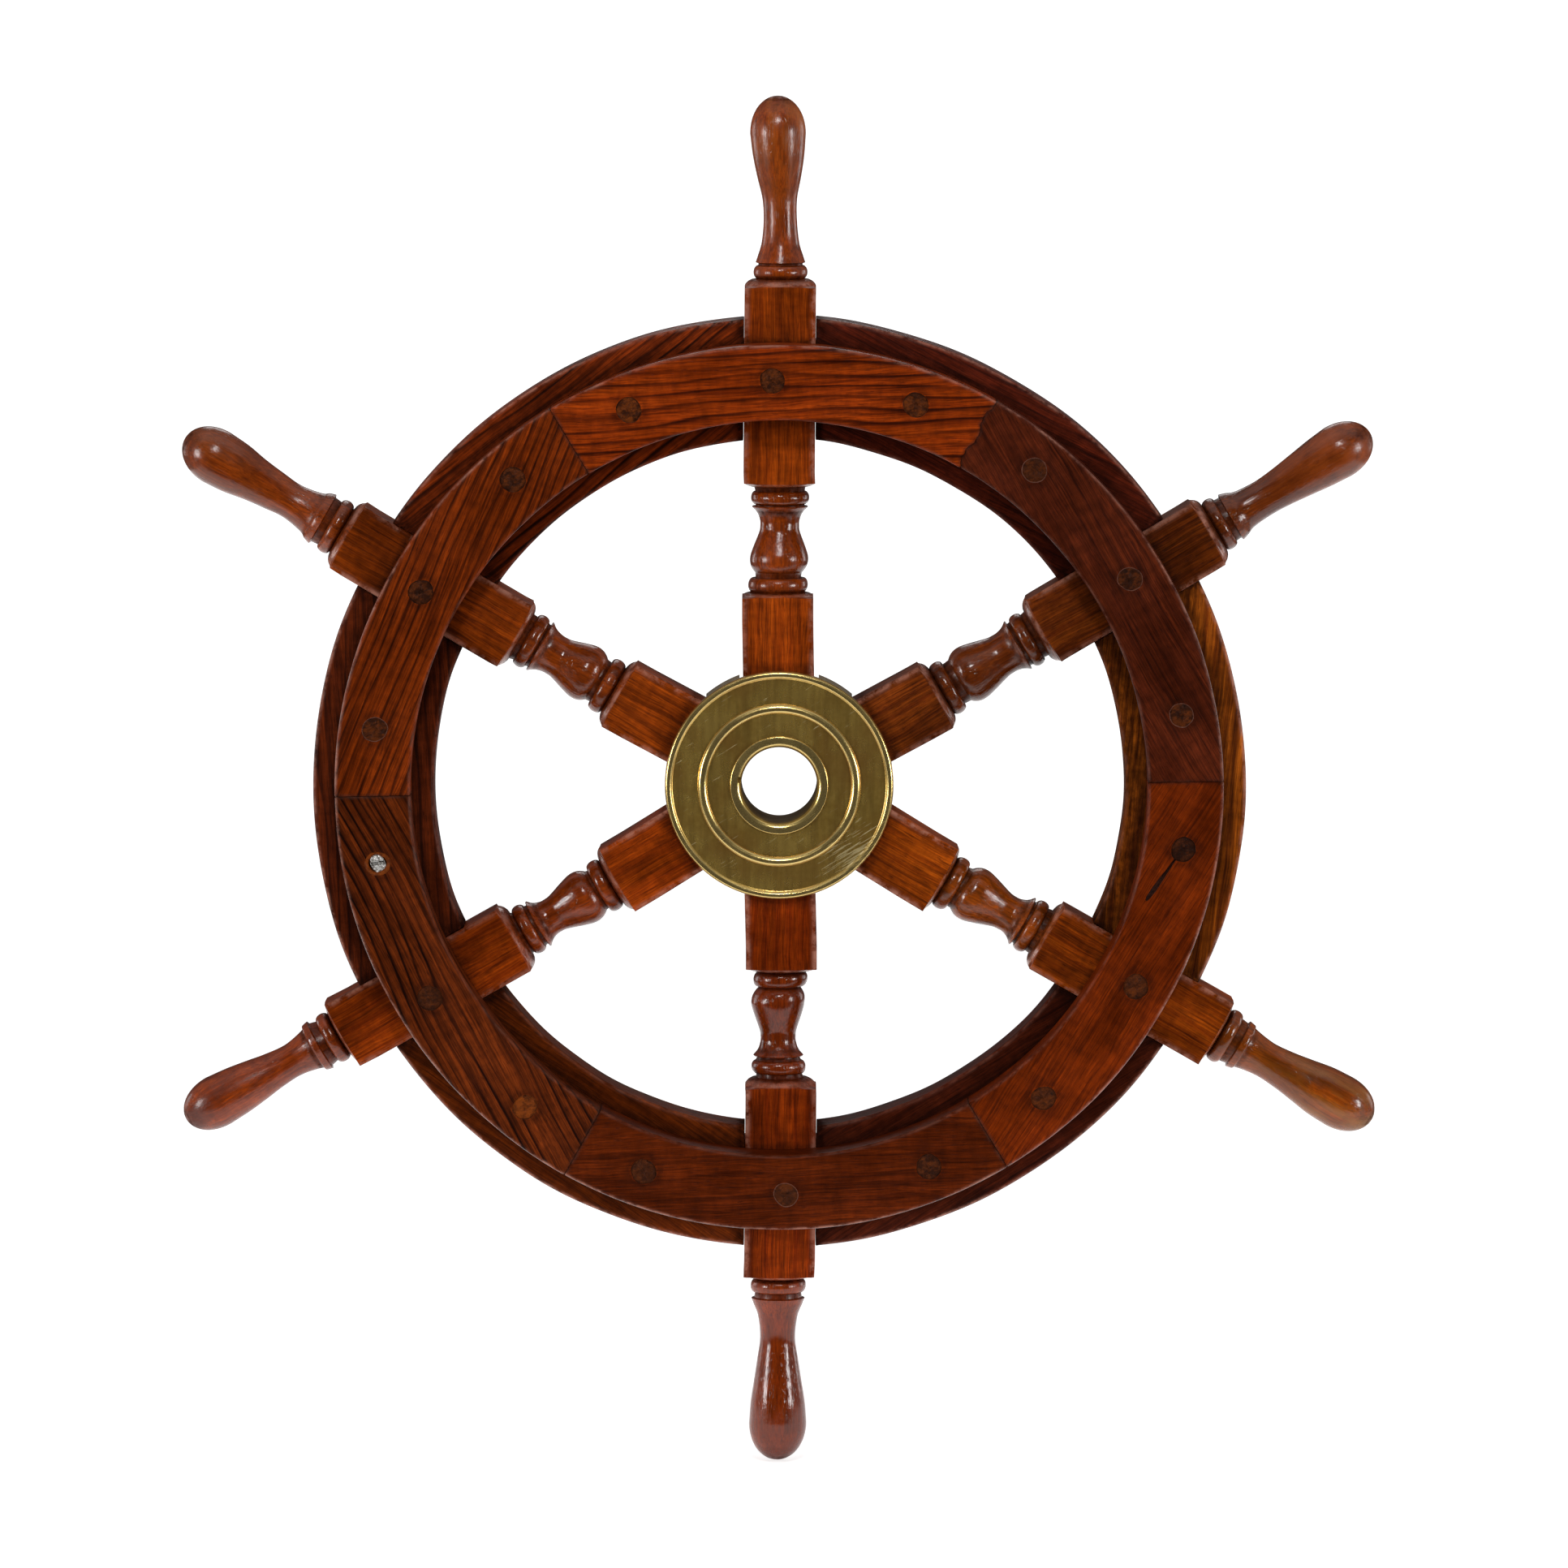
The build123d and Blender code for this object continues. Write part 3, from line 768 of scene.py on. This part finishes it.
def crack_shape():
    """A split beside the topmost screw of the facing at four o'clock."""
    start = np.array(screw_centres(FRONT, 4)[2][1:]) + (-2.2, -2.8)
    line = np.array((-8.0, -11.4))
    aside = np.array([-line[1], line[0]]) / np.hypot(*line)
    widths = ((0.0, 0.30), (0.3, 0.42), (0.5, 0.60), (0.75, 0.72), (0.93, 0.60), (1.0, 0.25))
    outline = [start + line * t + aside * w for t, w in widths]
    outline += [start + line * t - aside * w for t, w in widths[::-1]]
    return prism(FRONT, outline, RIM_FACE - 0.7, RIM_FACE + 1.0)


def stray(radius):
    """How far the rough joint strays from a straight cut, in degrees."""
    return 0.34 * np.sin(0.55 * radius) + 0.14 * np.sin(1.70 * radius + 1.0)


def make_facing(side, hour, material, hole_wood_and_shade):
    """A curved board over the ends of two felloes, with three counterbored holes."""
    rng = np.random.default_rng(300 + hour + (50 if side == BACK else 0))
    section = rounded_section(FACING_INNER, FACING_OUTER, RIM_FACE - 0.03, HALF_STICK + 0.02, EDGE_ROUND, 0.3)
    half_turn = HALF_SPACING - math.degrees(JOINT_GAP / 2 / SCREW_CIRCLE)

    def end(way):
        """The angle of the joint at one end, at each radius."""
        straight = side_angle(side, hour) + FACING_TURN + way * half_turn
        rough = (side, hour, way) in ROUGH_JOINT
        return lambda radius: straight + stray(radius) * rough

    points, edge, along, outer_wall = swept_piece(section, end(-1), end(1), rng, side, 0.14)
    depth = section[:, 1]
    # Darkened along the back edge as painted shade where the facing sits on the felloes and spokes, at the
    # ends for dark joints, and round the plugs for dirt.
    back_edge = np.exp(-((depth - HALF_STICK) / 2.0) ** 2)
    joint = np.exp(-((1 - np.abs(along)) / 0.010) ** 2)
    halo = 0.0
    for _, across, up in screw_centres(side, hour):
        off_plug = np.hypot(-side * points[..., 0] - across, points[..., 2] - up) - PLUG_RADIUS
        halo = np.maximum(halo, 0.6 * np.exp(-(np.maximum(off_plug, 0) / 1.3) ** 2))
    grime = np.maximum(np.maximum(0.6 * back_edge, 0.75 * joint), halo * (depth > HALF_STICK + 3))
    shape = grid(points, edge=edge, grime=grime, turned=outer_wall, grip=0.0)
    piece = mesh_object(f"{SIDE_NAMES[side]}_rim_facing_{hour:02d}", shape, [material, hole_wood_and_shade])
    # The walls of the holes and the crack take the dark end-grain colour, partly painted shade.
    carve(piece, hole_shapes(side, hour), 1)
    if (side, hour) == (FRONT, 4):
        carve(piece, [crack_shape()], 1)
    fit_into_frame(piece, "facing_wood", f"{SIDE_NAMES[side]}_facing_{hour:02d}")


def make_felloe(hour, material):
    """A curved block between two spokes, whose ends lie flat against their sides."""
    rng = np.random.default_rng(500 + hour)
    section = rounded_section(FELLOE_INNER + 0.35, FELLOE_OUTER - 0.3, HALF_FELLOE, -HALF_FELLOE, 1.3, 1.3)

    def beside(spoke_hour, way):
        """The angle, at each radius, of the joint with a spoke's side."""
        def angle(radius):
            reach = way * (HALF_STICK + GLUE_LINE) + sway(spoke_hour, radius)
            return clock_angle(hour) - way * HALF_SPACING + np.degrees(np.arcsin(reach / radius))
        return angle

    first, last = beside(hour % 12 + 1, 1), beside((hour - 2) % 12 + 1, -1)
    points, edge, along, outer_wall = swept_piece(section, first, last, rng, FRONT, 0.28, 110)
    radius = section[:, 0]
    to_end = (1 - np.abs(along)) / 2 * np.radians(last(radius) - first(radius)) * radius
    fillet = 0.9 * np.clip(1 - to_end / 1.3, 0, 1) ** 2 * (0.75 + 0.25 * np.sin(radius * 2.3 + hour))
    points[..., 1] += np.sign(points[..., 1]) * fillet * (np.abs(points[..., 1]) > HALF_FELLOE - 1.4)
    # Darkened as painted shade, with some dirt, where the facings cover the felloe and towards its ends
    # beside the spokes; DARK_INSIDE darkens the inner wall.
    covered = (radius > FACING_INNER - 1.0) & (radius < FACING_OUTER + 1.0)
    corner = 0.95 * np.exp(-(to_end / 2.6) ** 2) + 0.25 * np.exp(-(to_end / 9.0) ** 2)
    inside = DARK_INSIDE.get(hour, 0.0) * (radius < FACING_INNER)
    grime = np.clip(np.maximum(np.maximum(0.75 * covered, corner), inside), 0, 1)
    shape = grid(points, edge=edge * (to_end > 1.5), grime=grime, turned=outer_wall, grip=0.0)
    piece = mesh_object(f"rim_felloe_{hour:02d}", shape, [material])
    fit_into_frame(piece, "felloe_wood", f"felloe_{hour:02d}")


# ---------------------------------------------------------------- plugs and screws

# Each front plug's tone, by its facing's hour and which of the three screws it covers
PLUG_TONES = {
    (12, -1): 0.55, (12, 0): 0.50, (12, 1): 0.65, (2, -1): 0.40, (2, 0): 0.35, (2, 1): 0.35,
    (4, -1): 0.40, (4, 0): 0.40, (4, 1): 0.15, (6, -1): 0.30, (6, 0): 0.35, (6, 1): 0.35,
    (8, -1): 0.30, (8, 0): 0.30, (8, 1): 0.85, (10, -1): 0.40, (10, 0): 0.35, (10, 1): 0.40,
}
FAINT_PLUGS = ((4, -1), (4, 0), (6, -1), (6, 0), (8, 0), (8, 1), (2, 1))
FAINT_DECAY = 0.50
PLAIN_DECAY = 0.75
GLUED_PLUGS = ((2, -1), (2, 0), (2, 1), (6, 0), (10, 1))


def plug_material():
    """End-grain plugs, stained and dirty, each with a tone of its own."""
    graph = Material("plug_wood")
    place = graph.place(20.0)
    grain = graph.noise(place, (1.6, 0.5, 0.5), 4.0, 0.65)
    crumb = graph.noise(place, 0.9, 3.0, 0.6)
    torn = graph.noise(place, (3.4, 2.4, 2.4), 4.0, 0.65)
    decay = graph.mark("decay")
    tone = graph.times(graph.math("SUBTRACT", grain, 0.5), 0.9, graph.mark("tone"))
    dark = graph.mix(graph.rescale(tone, 0.0, 0.5), paint(54, 24, 10), paint(94, 44, 16))
    color = graph.mix(graph.rescale(tone, 0.45, 1.0), dark, paint(132, 62, 16))
    color = graph.mix(graph.times(graph.rescale(crumb, 0.50, 0.62), 0.45), color, paint(26, 10, 4))
    hollow = graph.rescale(graph.times(graph.mark("tone"), -0.20, torn), 0.36, 0.48)
    color = graph.mix(graph.times(hollow, decay), color, paint(30, 12, 6))
    patchy_rim = graph.times(graph.mark("rim"), graph.rescale(grain, 0.38, 0.58))
    color = graph.mix(graph.times(patchy_rim, graph.times(decay, 0.4)), color, GRIME_AND_SHADE)
    patchy_glue = graph.rescale(grain, 0.30, 0.55, 0.2, 0.7)
    glue = graph.times(graph.rescale(graph.mark("glue"), 0.55, 0.9), patchy_glue)
    graph.set("Base Color", graph.mix(glue, color, paint(150, 100, 84)))
    graph.set("Roughness", graph.rescale(crumb, 0.3, 0.7, 0.36, 0.60))
    graph.set("Specular IOR Level", 0.07)
    graph.set("Normal", graph.bump(crumb, 0.5, 0.0003, graph.bump(grain, 0.3, 0.0002)))
    return graph.material


def plug_shape(side, hour, step, across, up, tone, decay, glue):
    """One plug: a hand-cut dowel end, dished or torn by a fraction of a millimetre."""
    rng = np.random.default_rng(2000 + 100 * hour + 10 * step + side)
    turn = full_turn()
    rings = ((0.08, 0), (0.24, 0), (0.40, 0), (0.55, 0), (0.68, 0), (0.79, 0), (0.88, 0.02),
             (0.96, 0.05), (1.0, 0.16), (1.0, PLUG_DEPTH - 0.6))
    share, fall = np.array(rings).T[:, :, None]
    outline = plug_outline(side, hour, step, turn) - 0.05
    x, z = outline * share * np.cos(turn), outline * share * np.sin(turn)
    torn = np.clip(ripple(rng, 1.3 * x + 0.8 * z, 4) * ripple(rng, 1.2 * z - 0.5 * x, 4), -0.4, 1)
    grain = 0.10 * rng.uniform(-1, 1, x.shape) * (share < 0.9)
    hollow = (0.30 * np.clip(torn, 0, 1) + 0.12 * torn + grain + 0.12) * (share < 0.99)
    level = np.minimum(RIM_FACE - 0.12 - fall - hollow, RIM_FACE)
    points = side_points(side, across + x, level, up + z)
    rim = np.clip((share - 0.80) / 0.2, 0, 1)
    return grid(points, tone=tone - 0.25 * np.clip(torn, 0, 1), rim=rim, decay=decay, glue=glue * rim)


def filler_ring(side, across, up):
    """What is left of the filler round a screw head whose plug has fallen out."""
    rng = np.random.default_rng(77)
    turn = full_turn()
    rows = ((1.0, 0.4), (0.97, 0.12), (0.86, 0.15), (0.74, 0.35), (0.66, 0.9), (0.62, 1.6),
            (0.62, 4.2), (1.0, 4.2))
    share, drop = np.array(rows).T[:, :, None]
    ragged = 1 + 0.10 * ripple(rng, turn, 6) * (share < 0.95)
    radius = (PLUG_RADIUS - 0.1) * share * ragged
    level = RIM_FACE - drop - 0.1 * ripple(rng, turn * 2, 4) * (share < 0.95)
    points = side_points(side, across + radius * np.cos(turn), level, up + radius * np.sin(turn))
    return grid(points, True, tone=0.85 - 0.5 * (share < 0.6), rim=0.7 * (share > 0.96), decay=0.5, glue=0.0)


def make_plugs(side, material):
    """All the plugs of one side as one piece, less the one that is lost."""
    rng = np.random.default_rng(700 + side)
    shapes = []
    for hour in SPOKE_HOURS:
        for step, across, up in screw_centres(side, hour):
            tone = PLUG_TONES[(hour, step)] if side == FRONT else rng.uniform(0.2, 0.6)
            if (side, hour, step) == LOST_PLUG:
                shapes.append(filler_ring(side, across, up))
            else:
                decay = FAINT_DECAY if (hour, step) in FAINT_PLUGS and side == FRONT else PLAIN_DECAY
                glue = float((hour, step) in GLUED_PLUGS)
                shapes.append(plug_shape(side, hour, step, across, up, tone, decay, glue))
    piece = mesh_object(f"{SIDE_NAMES[side]}_wood_plugs", join_shapes(shapes), [material])
    fit_into_frame(piece, "plug_wood", f"{SIDE_NAMES[side]}_plugs")


def make_screws(side, material):
    """All the screws of one side as one piece. The one whose plug is lost stands nearly level."""
    low, high = (np.array(corner)[1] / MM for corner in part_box(f"{SIDE_NAMES[side]}_screws"))
    head, tip = (-low, -high) if side == FRONT else (high, low)
    rng = np.random.default_rng(800 + side)
    turn = full_turn()
    shapes = []
    for hour in SPOKE_HOURS:
        for step, across, up in screw_centres(side, hour):
            bare = (side, hour, step) == LOST_PLUG
            top, broad = (RIM_FACE - 0.55, 2.35) if bare else (head, SCREW_HEAD)
            neck = min(top - 2.0, head - 0.2)
            rows = [(broad * share, top - 0.25 * share ** 4) for share in np.linspace(0.06, 1.0, 14)]
            rows += [(SCREW_SHANK, level) for level in (neck, (neck + tip) / 2, tip)]
            radius, level = np.array(rows).T[:, :, None]
            oblong = 1 + (0.15 * np.cos(2 * (turn - 2.1)) + 0.07 * ripple(rng, turn, 6)) * bare
            x, z = radius * oblong * np.cos(turn), radius * oblong * np.sin(turn)
            slope = rng.uniform(0, np.pi)
            aside = np.abs(x * math.sin(slope) - z * math.cos(slope))
            slot = 0.9 * (aside < 0.42) * (radius < 0.88 * broad) * (level > top - 0.3)
            dent = 0.25 * ripple(rng, 2.2 * x + z) * bare * (level > top - 0.3)
            shapes.append(grid(side_points(side, across + x, level - slot - np.abs(dent), up + z)))
    piece = mesh_object(f"{SIDE_NAMES[side]}_rim_screws", join_shapes(shapes), [material])
    fit_into_frame(piece, "screw_steel", f"{SIDE_NAMES[side]}_screws")


def screw_material():
    """Bright steel, scratched by the driver."""
    graph = Material("screw_steel")
    place = graph.place(35.0)
    scratch = graph.noise(place, (3.0, 0.15, 0.15), 3.0)
    spot = graph.rescale(graph.noise(place, 0.7), 0.45, 0.6)
    graph.set("Base Color", graph.mix(spot, paint(150, 146, 140), paint(232, 230, 226)))
    graph.set("Metallic", 0.65)
    graph.set("Roughness", graph.rescale(scratch, 0.3, 0.7, 0.34, 0.52))
    dents = graph.bump(graph.noise(place, 1.3), 0.8, 0.0008)
    graph.set("Normal", graph.bump(scratch, 0.5, 0.0003, dents))
    return graph.material


# ---------------------------------------------------------------- hub

def brass_material():
    """Aged brass under lacquer: dull gold with faint turning marks, stains and a few scratches."""
    graph = Material("hub_brass")
    place = graph.place()
    stain = graph.noise(place, 7, 4.0, 0.6)
    fine = graph.noise(place, 0.7, 3.0, 0.6)
    x, y, z = graph.add("ShaderNodeSeparateXYZ", place).outputs
    squares = graph.math("ADD", graph.math("POWER", x, 2.0), graph.math("POWER", z, 2.0))
    radius = graph.math("SQRT", squares)
    outward = graph.add("ShaderNodeCombineXYZ", radius).outputs[0]
    turning = graph.noise(outward, (0.16, 1, 1))
    color = graph.mix(graph.rescale(stain, 0.34, 0.66), paint(238, 198, 102), paint(184, 146, 66))
    brushed = graph.noise(place, (1.6, 30, 14), 4.0, 0.6)
    color = graph.mix(graph.rescale(brushed, 0.35, 0.70, 0.0, 0.60), color, paint(150, 116, 54))
    tarnish = graph.rescale(graph.noise(place, 15, 3.0), 0.45, 0.70)
    color = graph.mix(graph.times(tarnish, 0.60), color, paint(176, 126, 60))
    streaks = graph.noise(graph.place(32.0), (6.0, 0.35, 0.35))
    from_rub = graph.vector("DISTANCE", graph.stretch(place, (1, 1e3, 1)), RUBBED_SPOT, output="Value")
    rubbed = graph.rescale(from_rub, 3.0, 14.0, 0.20, 0.0)
    scratch = graph.rescale(graph.math("ADD", streaks, rubbed), 0.70, 0.74)
    color = graph.mix(graph.times(scratch, 0.7), color, paint(240, 222, 168))

    # The beads and rims are rubbed brighter. The bore's inside is painted dull and dark brown as painted
    # shade.
    raised = graph.rescale(graph.math("ABSOLUTE", y), CAP_FACE + 0.1, CAP_FACE + 0.5)
    inside = graph.rescale(radius, BORE_RADIUS + 0.05, BORE_RADIUS + 0.40, 1.0, 0.0)
    color = graph.mix(raised, color, paint(222, 192, 118))
    graph.set("Base Color", graph.mix(graph.times(inside, 0.9), color, paint(60, 42, 22)))
    metal = graph.times(raised, 0.09, 0.81)
    graph.set("Metallic", graph.times(metal, graph.rescale(inside, 0.0, 1.0, 1.0, 0.2)))
    graph.set("Specular IOR Level", graph.rescale(inside, 0.0, 1.0, 0.5, 0.05))
    graph.set("Coat Weight", graph.rescale(inside, 0.0, 1.0, 0.55, 0.0))
    graph.set("Coat Roughness", 0.14)
    gloss = graph.rescale(stain, 0.3, 0.7, 0.23, 0.34)
    for cause, change in ((raised, -0.05), (inside, 0.4), (scratch, 0.15)):
        gloss = graph.times(cause, change, gloss)
    graph.set("Roughness", gloss)
    graph.set("Normal", graph.bump(graph.times(fine, 0.35, turning), 0.04, 0.00005))
    return graph.material


def lathe_piece(name, outline, material, sharp, count=192):
    """Turn a closed (radius, depth) outline round the axle."""
    radius, depth = np.asarray(outline, float).T[:, :, None]
    turn = full_turn(count)
    points = np.stack(np.broadcast_arrays(radius * np.cos(turn), depth, radius * np.sin(turn)), axis=-1)
    return mesh_object(name, grid(points, True), [material], sharp)


def arc_points(centre, radius, start, end, count):
    """Points on an arc of a section, as (radius, height)."""
    turn = np.radians(np.linspace(start, end, count))
    return [(centre[0] + radius * math.cos(t), centre[1] + radius * math.sin(t)) for t in turn]


def cap_outline(outer, side):
    """Half section of a hub cap: flat field, raised bead, stepped rim and a skirt, facing its side."""
    face = CAP_FACE
    bead_middle, bead_half, bead_height = 21.3, 1.35, 0.95
    outline = [(SLEEVE_RADIUS, face)] + [(r, face) for r in np.linspace(14.2, 19.6, 5)]
    for turn in np.linspace(0, math.pi, 15):
        outline.append((bead_middle - bead_half * math.cos(turn), face + bead_height * math.sin(turn) ** 1.3))
    outline += [(r, face) for r in np.linspace(23.2, outer - 2.8, 5)]
    outline += [(outer - 2.3 + t, face + 0.6 * (3 * t * t - 2 * t ** 3)) for t in np.linspace(0, 1, 9)]
    outline += arc_points((outer - 0.9, face - 0.3), 0.9, 90, 0, 9)
    outline += [(outer, level) for level in np.linspace(face - 1.6, -CAP_OVERLAP, 6)]
    inner = outer - CAP_SKIRT
    outline += [(inner, -CAP_OVERLAP), (inner, HALF_STICK), (SLEEVE_RADIUS, HALF_STICK)]
    return [(radius, side * level) for radius, level in outline]


def make_cap(side, material):
    """A pressed brass cap whose skirt is notched round the six spokes."""
    outer = CAP_RADIUS if side == FRONT else BACK_CAP_RADIUS
    piece = lathe_piece(f"{SIDE_NAMES[side]}_brass_cap", cap_outline(outer, side), material, CAP_SHARP)
    notches = []
    for hour in SPOKE_HOURS:
        angle = math.radians(clock_angle(hour))
        out = np.array([math.cos(angle), math.sin(angle)])
        aside = np.array([-out[1], out[0]])
        spots = [out * (outer + r * NOTCH_DEPTH / 2) + aside * a * NOTCH_WIDTH / 2 for r, a in SQUARE]
        notches.append(prism(side, spots * np.array((-side, 1)), -CAP_OVERLAP - 1.0, HALF_STICK))
    carve(piece, notches, sharp=CAP_SHARP)
    fit_into_frame(piece, "hub_brass", f"{SIDE_NAMES[side]}_hub_cap")


def nick_shape():
    """A small bite out of the front lip of the sleeve."""
    across, _, up = polar(BORE_RADIUS + 0.3, NICK_ANGLE, 0.0)
    half, level = NICK_SIZE / 2, SLEEVE_END - 0.9
    return prism(FRONT, np.array((across, up)) + SQUARE * half, level + half, level - half)


def make_sleeve(material):
    """The lining of the bore, with both ends rolled out over the caps."""
    half = [(SLEEVE_RADIUS, 0.0), (SLEEVE_RADIUS, CAP_FACE), (FLARE_RADIUS - 0.3, CAP_FACE)]
    half += arc_points((FLARE_RADIUS - 0.35, SLEEVE_END - 0.35), 0.35, -30, 90, 7)
    half += arc_points((BORE_RADIUS + LIP_ROUND, SLEEVE_END - LIP_ROUND), LIP_ROUND, 90, 180, 10)
    half += [(BORE_RADIUS, 4.0)]
    outline = half + [(radius, -depth) for radius, depth in half[::-1]][:-1]
    piece = lathe_piece("brass_sleeve", outline, material, SLEEVE_SHARP)
    carve(piece, [nick_shape()], sharp=SLEEVE_SHARP)
    fit_into_frame(piece, "hub_brass", "hub_sleeve")


# ---------------------------------------------------------------- building the wheel

def build_wheel():
    """Every piece of the wheel, in place of its CAD node."""
    hole_wood_and_shade = dark_wood_material()
    for hour in SPOKE_HOURS:
        material = wood_material(f"spoke_wood_{hour:02d}", SPOKE_WOODS[hour], clock_angle(hour), 10 + hour)
        make_spoke(hour, material)
        for side, where in SIDE_NAMES.items():
            look_hour = hour if side == FRONT else SPOKE_HOURS[(SPOKE_HOURS.index(hour) + 2) % 6]
            grain = FACING_GRAIN[hour] if side == FRONT else clock_angle(hour) + 90
            seed = 40 + hour + (20 if side == BACK else 0)
            material = wood_material(f"{where}_facing_wood_{hour:02d}", FACING_WOODS[look_hour], grain, seed)
            make_facing(side, hour, material, hole_wood_and_shade)
    for hour in FELLOE_HOURS:
        material = wood_material(f"felloe_wood_{hour:02d}", FELLOE_WOODS[hour], FELLOE_GRAIN[hour], 80 + hour)
        make_felloe(hour, material)
    plug_wood, steel, brass = plug_material(), screw_material(), brass_material()
    for side in (FRONT, BACK):
        make_plugs(side, plug_wood)
        make_screws(side, steel)
        make_cap(side, brass)
    make_sleeve(brass)


# ---------------------------------------------------------------- studio

CAMERA_DISTANCE = 3.1
CAMERA_HEIGHT = 0.29
CAMERA_LENS = 257.0
AIM = Vector((0.00135, 0.0, -0.00075))
TENT_SIDES = 0.38
TENT_FRONT = 0.03
TENT_BACK = 0.3
WHITE = (1, 1, 1, 1)
SKY_STRENGTH = 1.2
FLOOR_DROP = 0.0004
FLOOR_HALF_WIDTH = 0.5
FLOOR_ENDS = (-0.18, 1.5)
FLOOR_GLOW = 0.68

# Each softbox: place, width, height and power
SOFTBOXES = {
    "key": ((0.0, -1.47, 1.03), 0.22, 0.16, 7.8),
    "left": ((-1.30, -0.80, 0.12), 0.28, 0.46, 8.5),
    "right": ((1.30, -0.80, 0.12), 0.28, 0.46, 8.5),
    "overhead": ((0.0, -0.35, 1.7), 2.4, 1.6, 4.5),
    "rear_key": ((0.0, 1.47, 1.03), 0.70, 0.50, 2.6),
    "rear_left": ((-1.30, 0.80, 0.12), 0.40, 0.60, 2.2),
    "rear_right": ((1.30, 0.80, 0.12), 0.40, 0.60, 2.2),
}


def make_floor():
    """A plain white floor under the lowest handle."""
    level = cad_low.z - FLOOR_DROP
    corners = [(x * FLOOR_HALF_WIDTH, FLOOR_ENDS[(y + 1) // 2], level) for x, y in SQUARE.tolist()]
    mesh = bpy.data.meshes.new("floor")
    mesh.from_pydata(corners, [], [(0, 1, 2, 3)])
    floor = bpy.data.objects.new("floor", mesh)
    graph = Material("floor_paint")
    speck = graph.noise(graph.place(), 1000)
    graph.set("Base Color", graph.mix(speck, (0.86, 0.86, 0.86, 1), (0.9, 0.9, 0.9, 1)))
    graph.set("Roughness", 0.9)
    graph.set("Specular IOR Level", 0.1)
    graph.set("Emission Color", WHITE)
    graph.set("Emission Strength", FLOOR_GLOW)
    mesh.materials.append(graph.material)
    bpy.context.scene.collection.objects.link(floor)


def make_world():
    """White surroundings for the camera. For the rest, a white tent that is open and dark in front."""
    world = bpy.data.worlds.new("studio")
    bpy.context.scene.world = world
    world.use_nodes = True
    graph = Graph(world.node_tree)
    direction = graph.add("ShaderNodeTexCoord").outputs["Generated"]
    depth = graph.add("ShaderNodeSeparateXYZ", direction).outputs["Y"]
    tent = graph.rescale(graph.times(depth, -1.0), 0.42, 0.60, TENT_SIDES, TENT_FRONT, smooth=True)
    back = graph.rescale(depth, 0.45, 0.75, 1.0, TENT_BACK, smooth=True)
    room = graph.add("ShaderNodeBackground")
    graph.feed(room.inputs["Strength"], graph.times(tent, back))
    white = graph.add("ShaderNodeBackground", WHITE, SKY_STRENGTH)
    seen = graph.add("ShaderNodeLightPath").outputs["Is Camera Ray"]
    blend = graph.add("ShaderNodeMixShader", seen, room.outputs[0], white.outputs[0])
    graph.add("ShaderNodeOutputWorld", blend.outputs[0])


def aim(thing, place, target):
    """Stand a lamp or camera in a place, facing a target."""
    thing.location = place
    thing.rotation_mode = "QUATERNION"
    thing.rotation_quaternion = (Vector(target) - Vector(place)).to_track_quat("-Z", "Y")
    bpy.context.scene.collection.objects.link(thing)


def make_lights():
    """A key above the camera, a tall softbox at each side, one overhead, and three behind the wheel."""
    for name, (place, width, height, power) in SOFTBOXES.items():
        light = bpy.data.lights.new(name, "AREA")
        light.shape = "RECTANGLE"
        light.size, light.size_y = width, height
        light.energy = power
        aim(bpy.data.objects.new(name, light), place, (0, 0, 0))


def make_camera():
    """A long lens a little above the wheel's middle."""
    data = bpy.data.cameras.new("camera")
    data.lens = CAMERA_LENS
    data.sensor_width = 36.0
    data.clip_start, data.clip_end = 0.1, 100.0
    camera = bpy.data.objects.new("camera", data)
    aim(camera, (0.0, -CAMERA_DISTANCE, CAMERA_HEIGHT), AIM)
    bpy.context.scene.camera = camera


build_wheel()
make_floor()
make_world()
make_lights()
make_camera()
bpy.context.scene.view_settings.view_transform = "Standard"
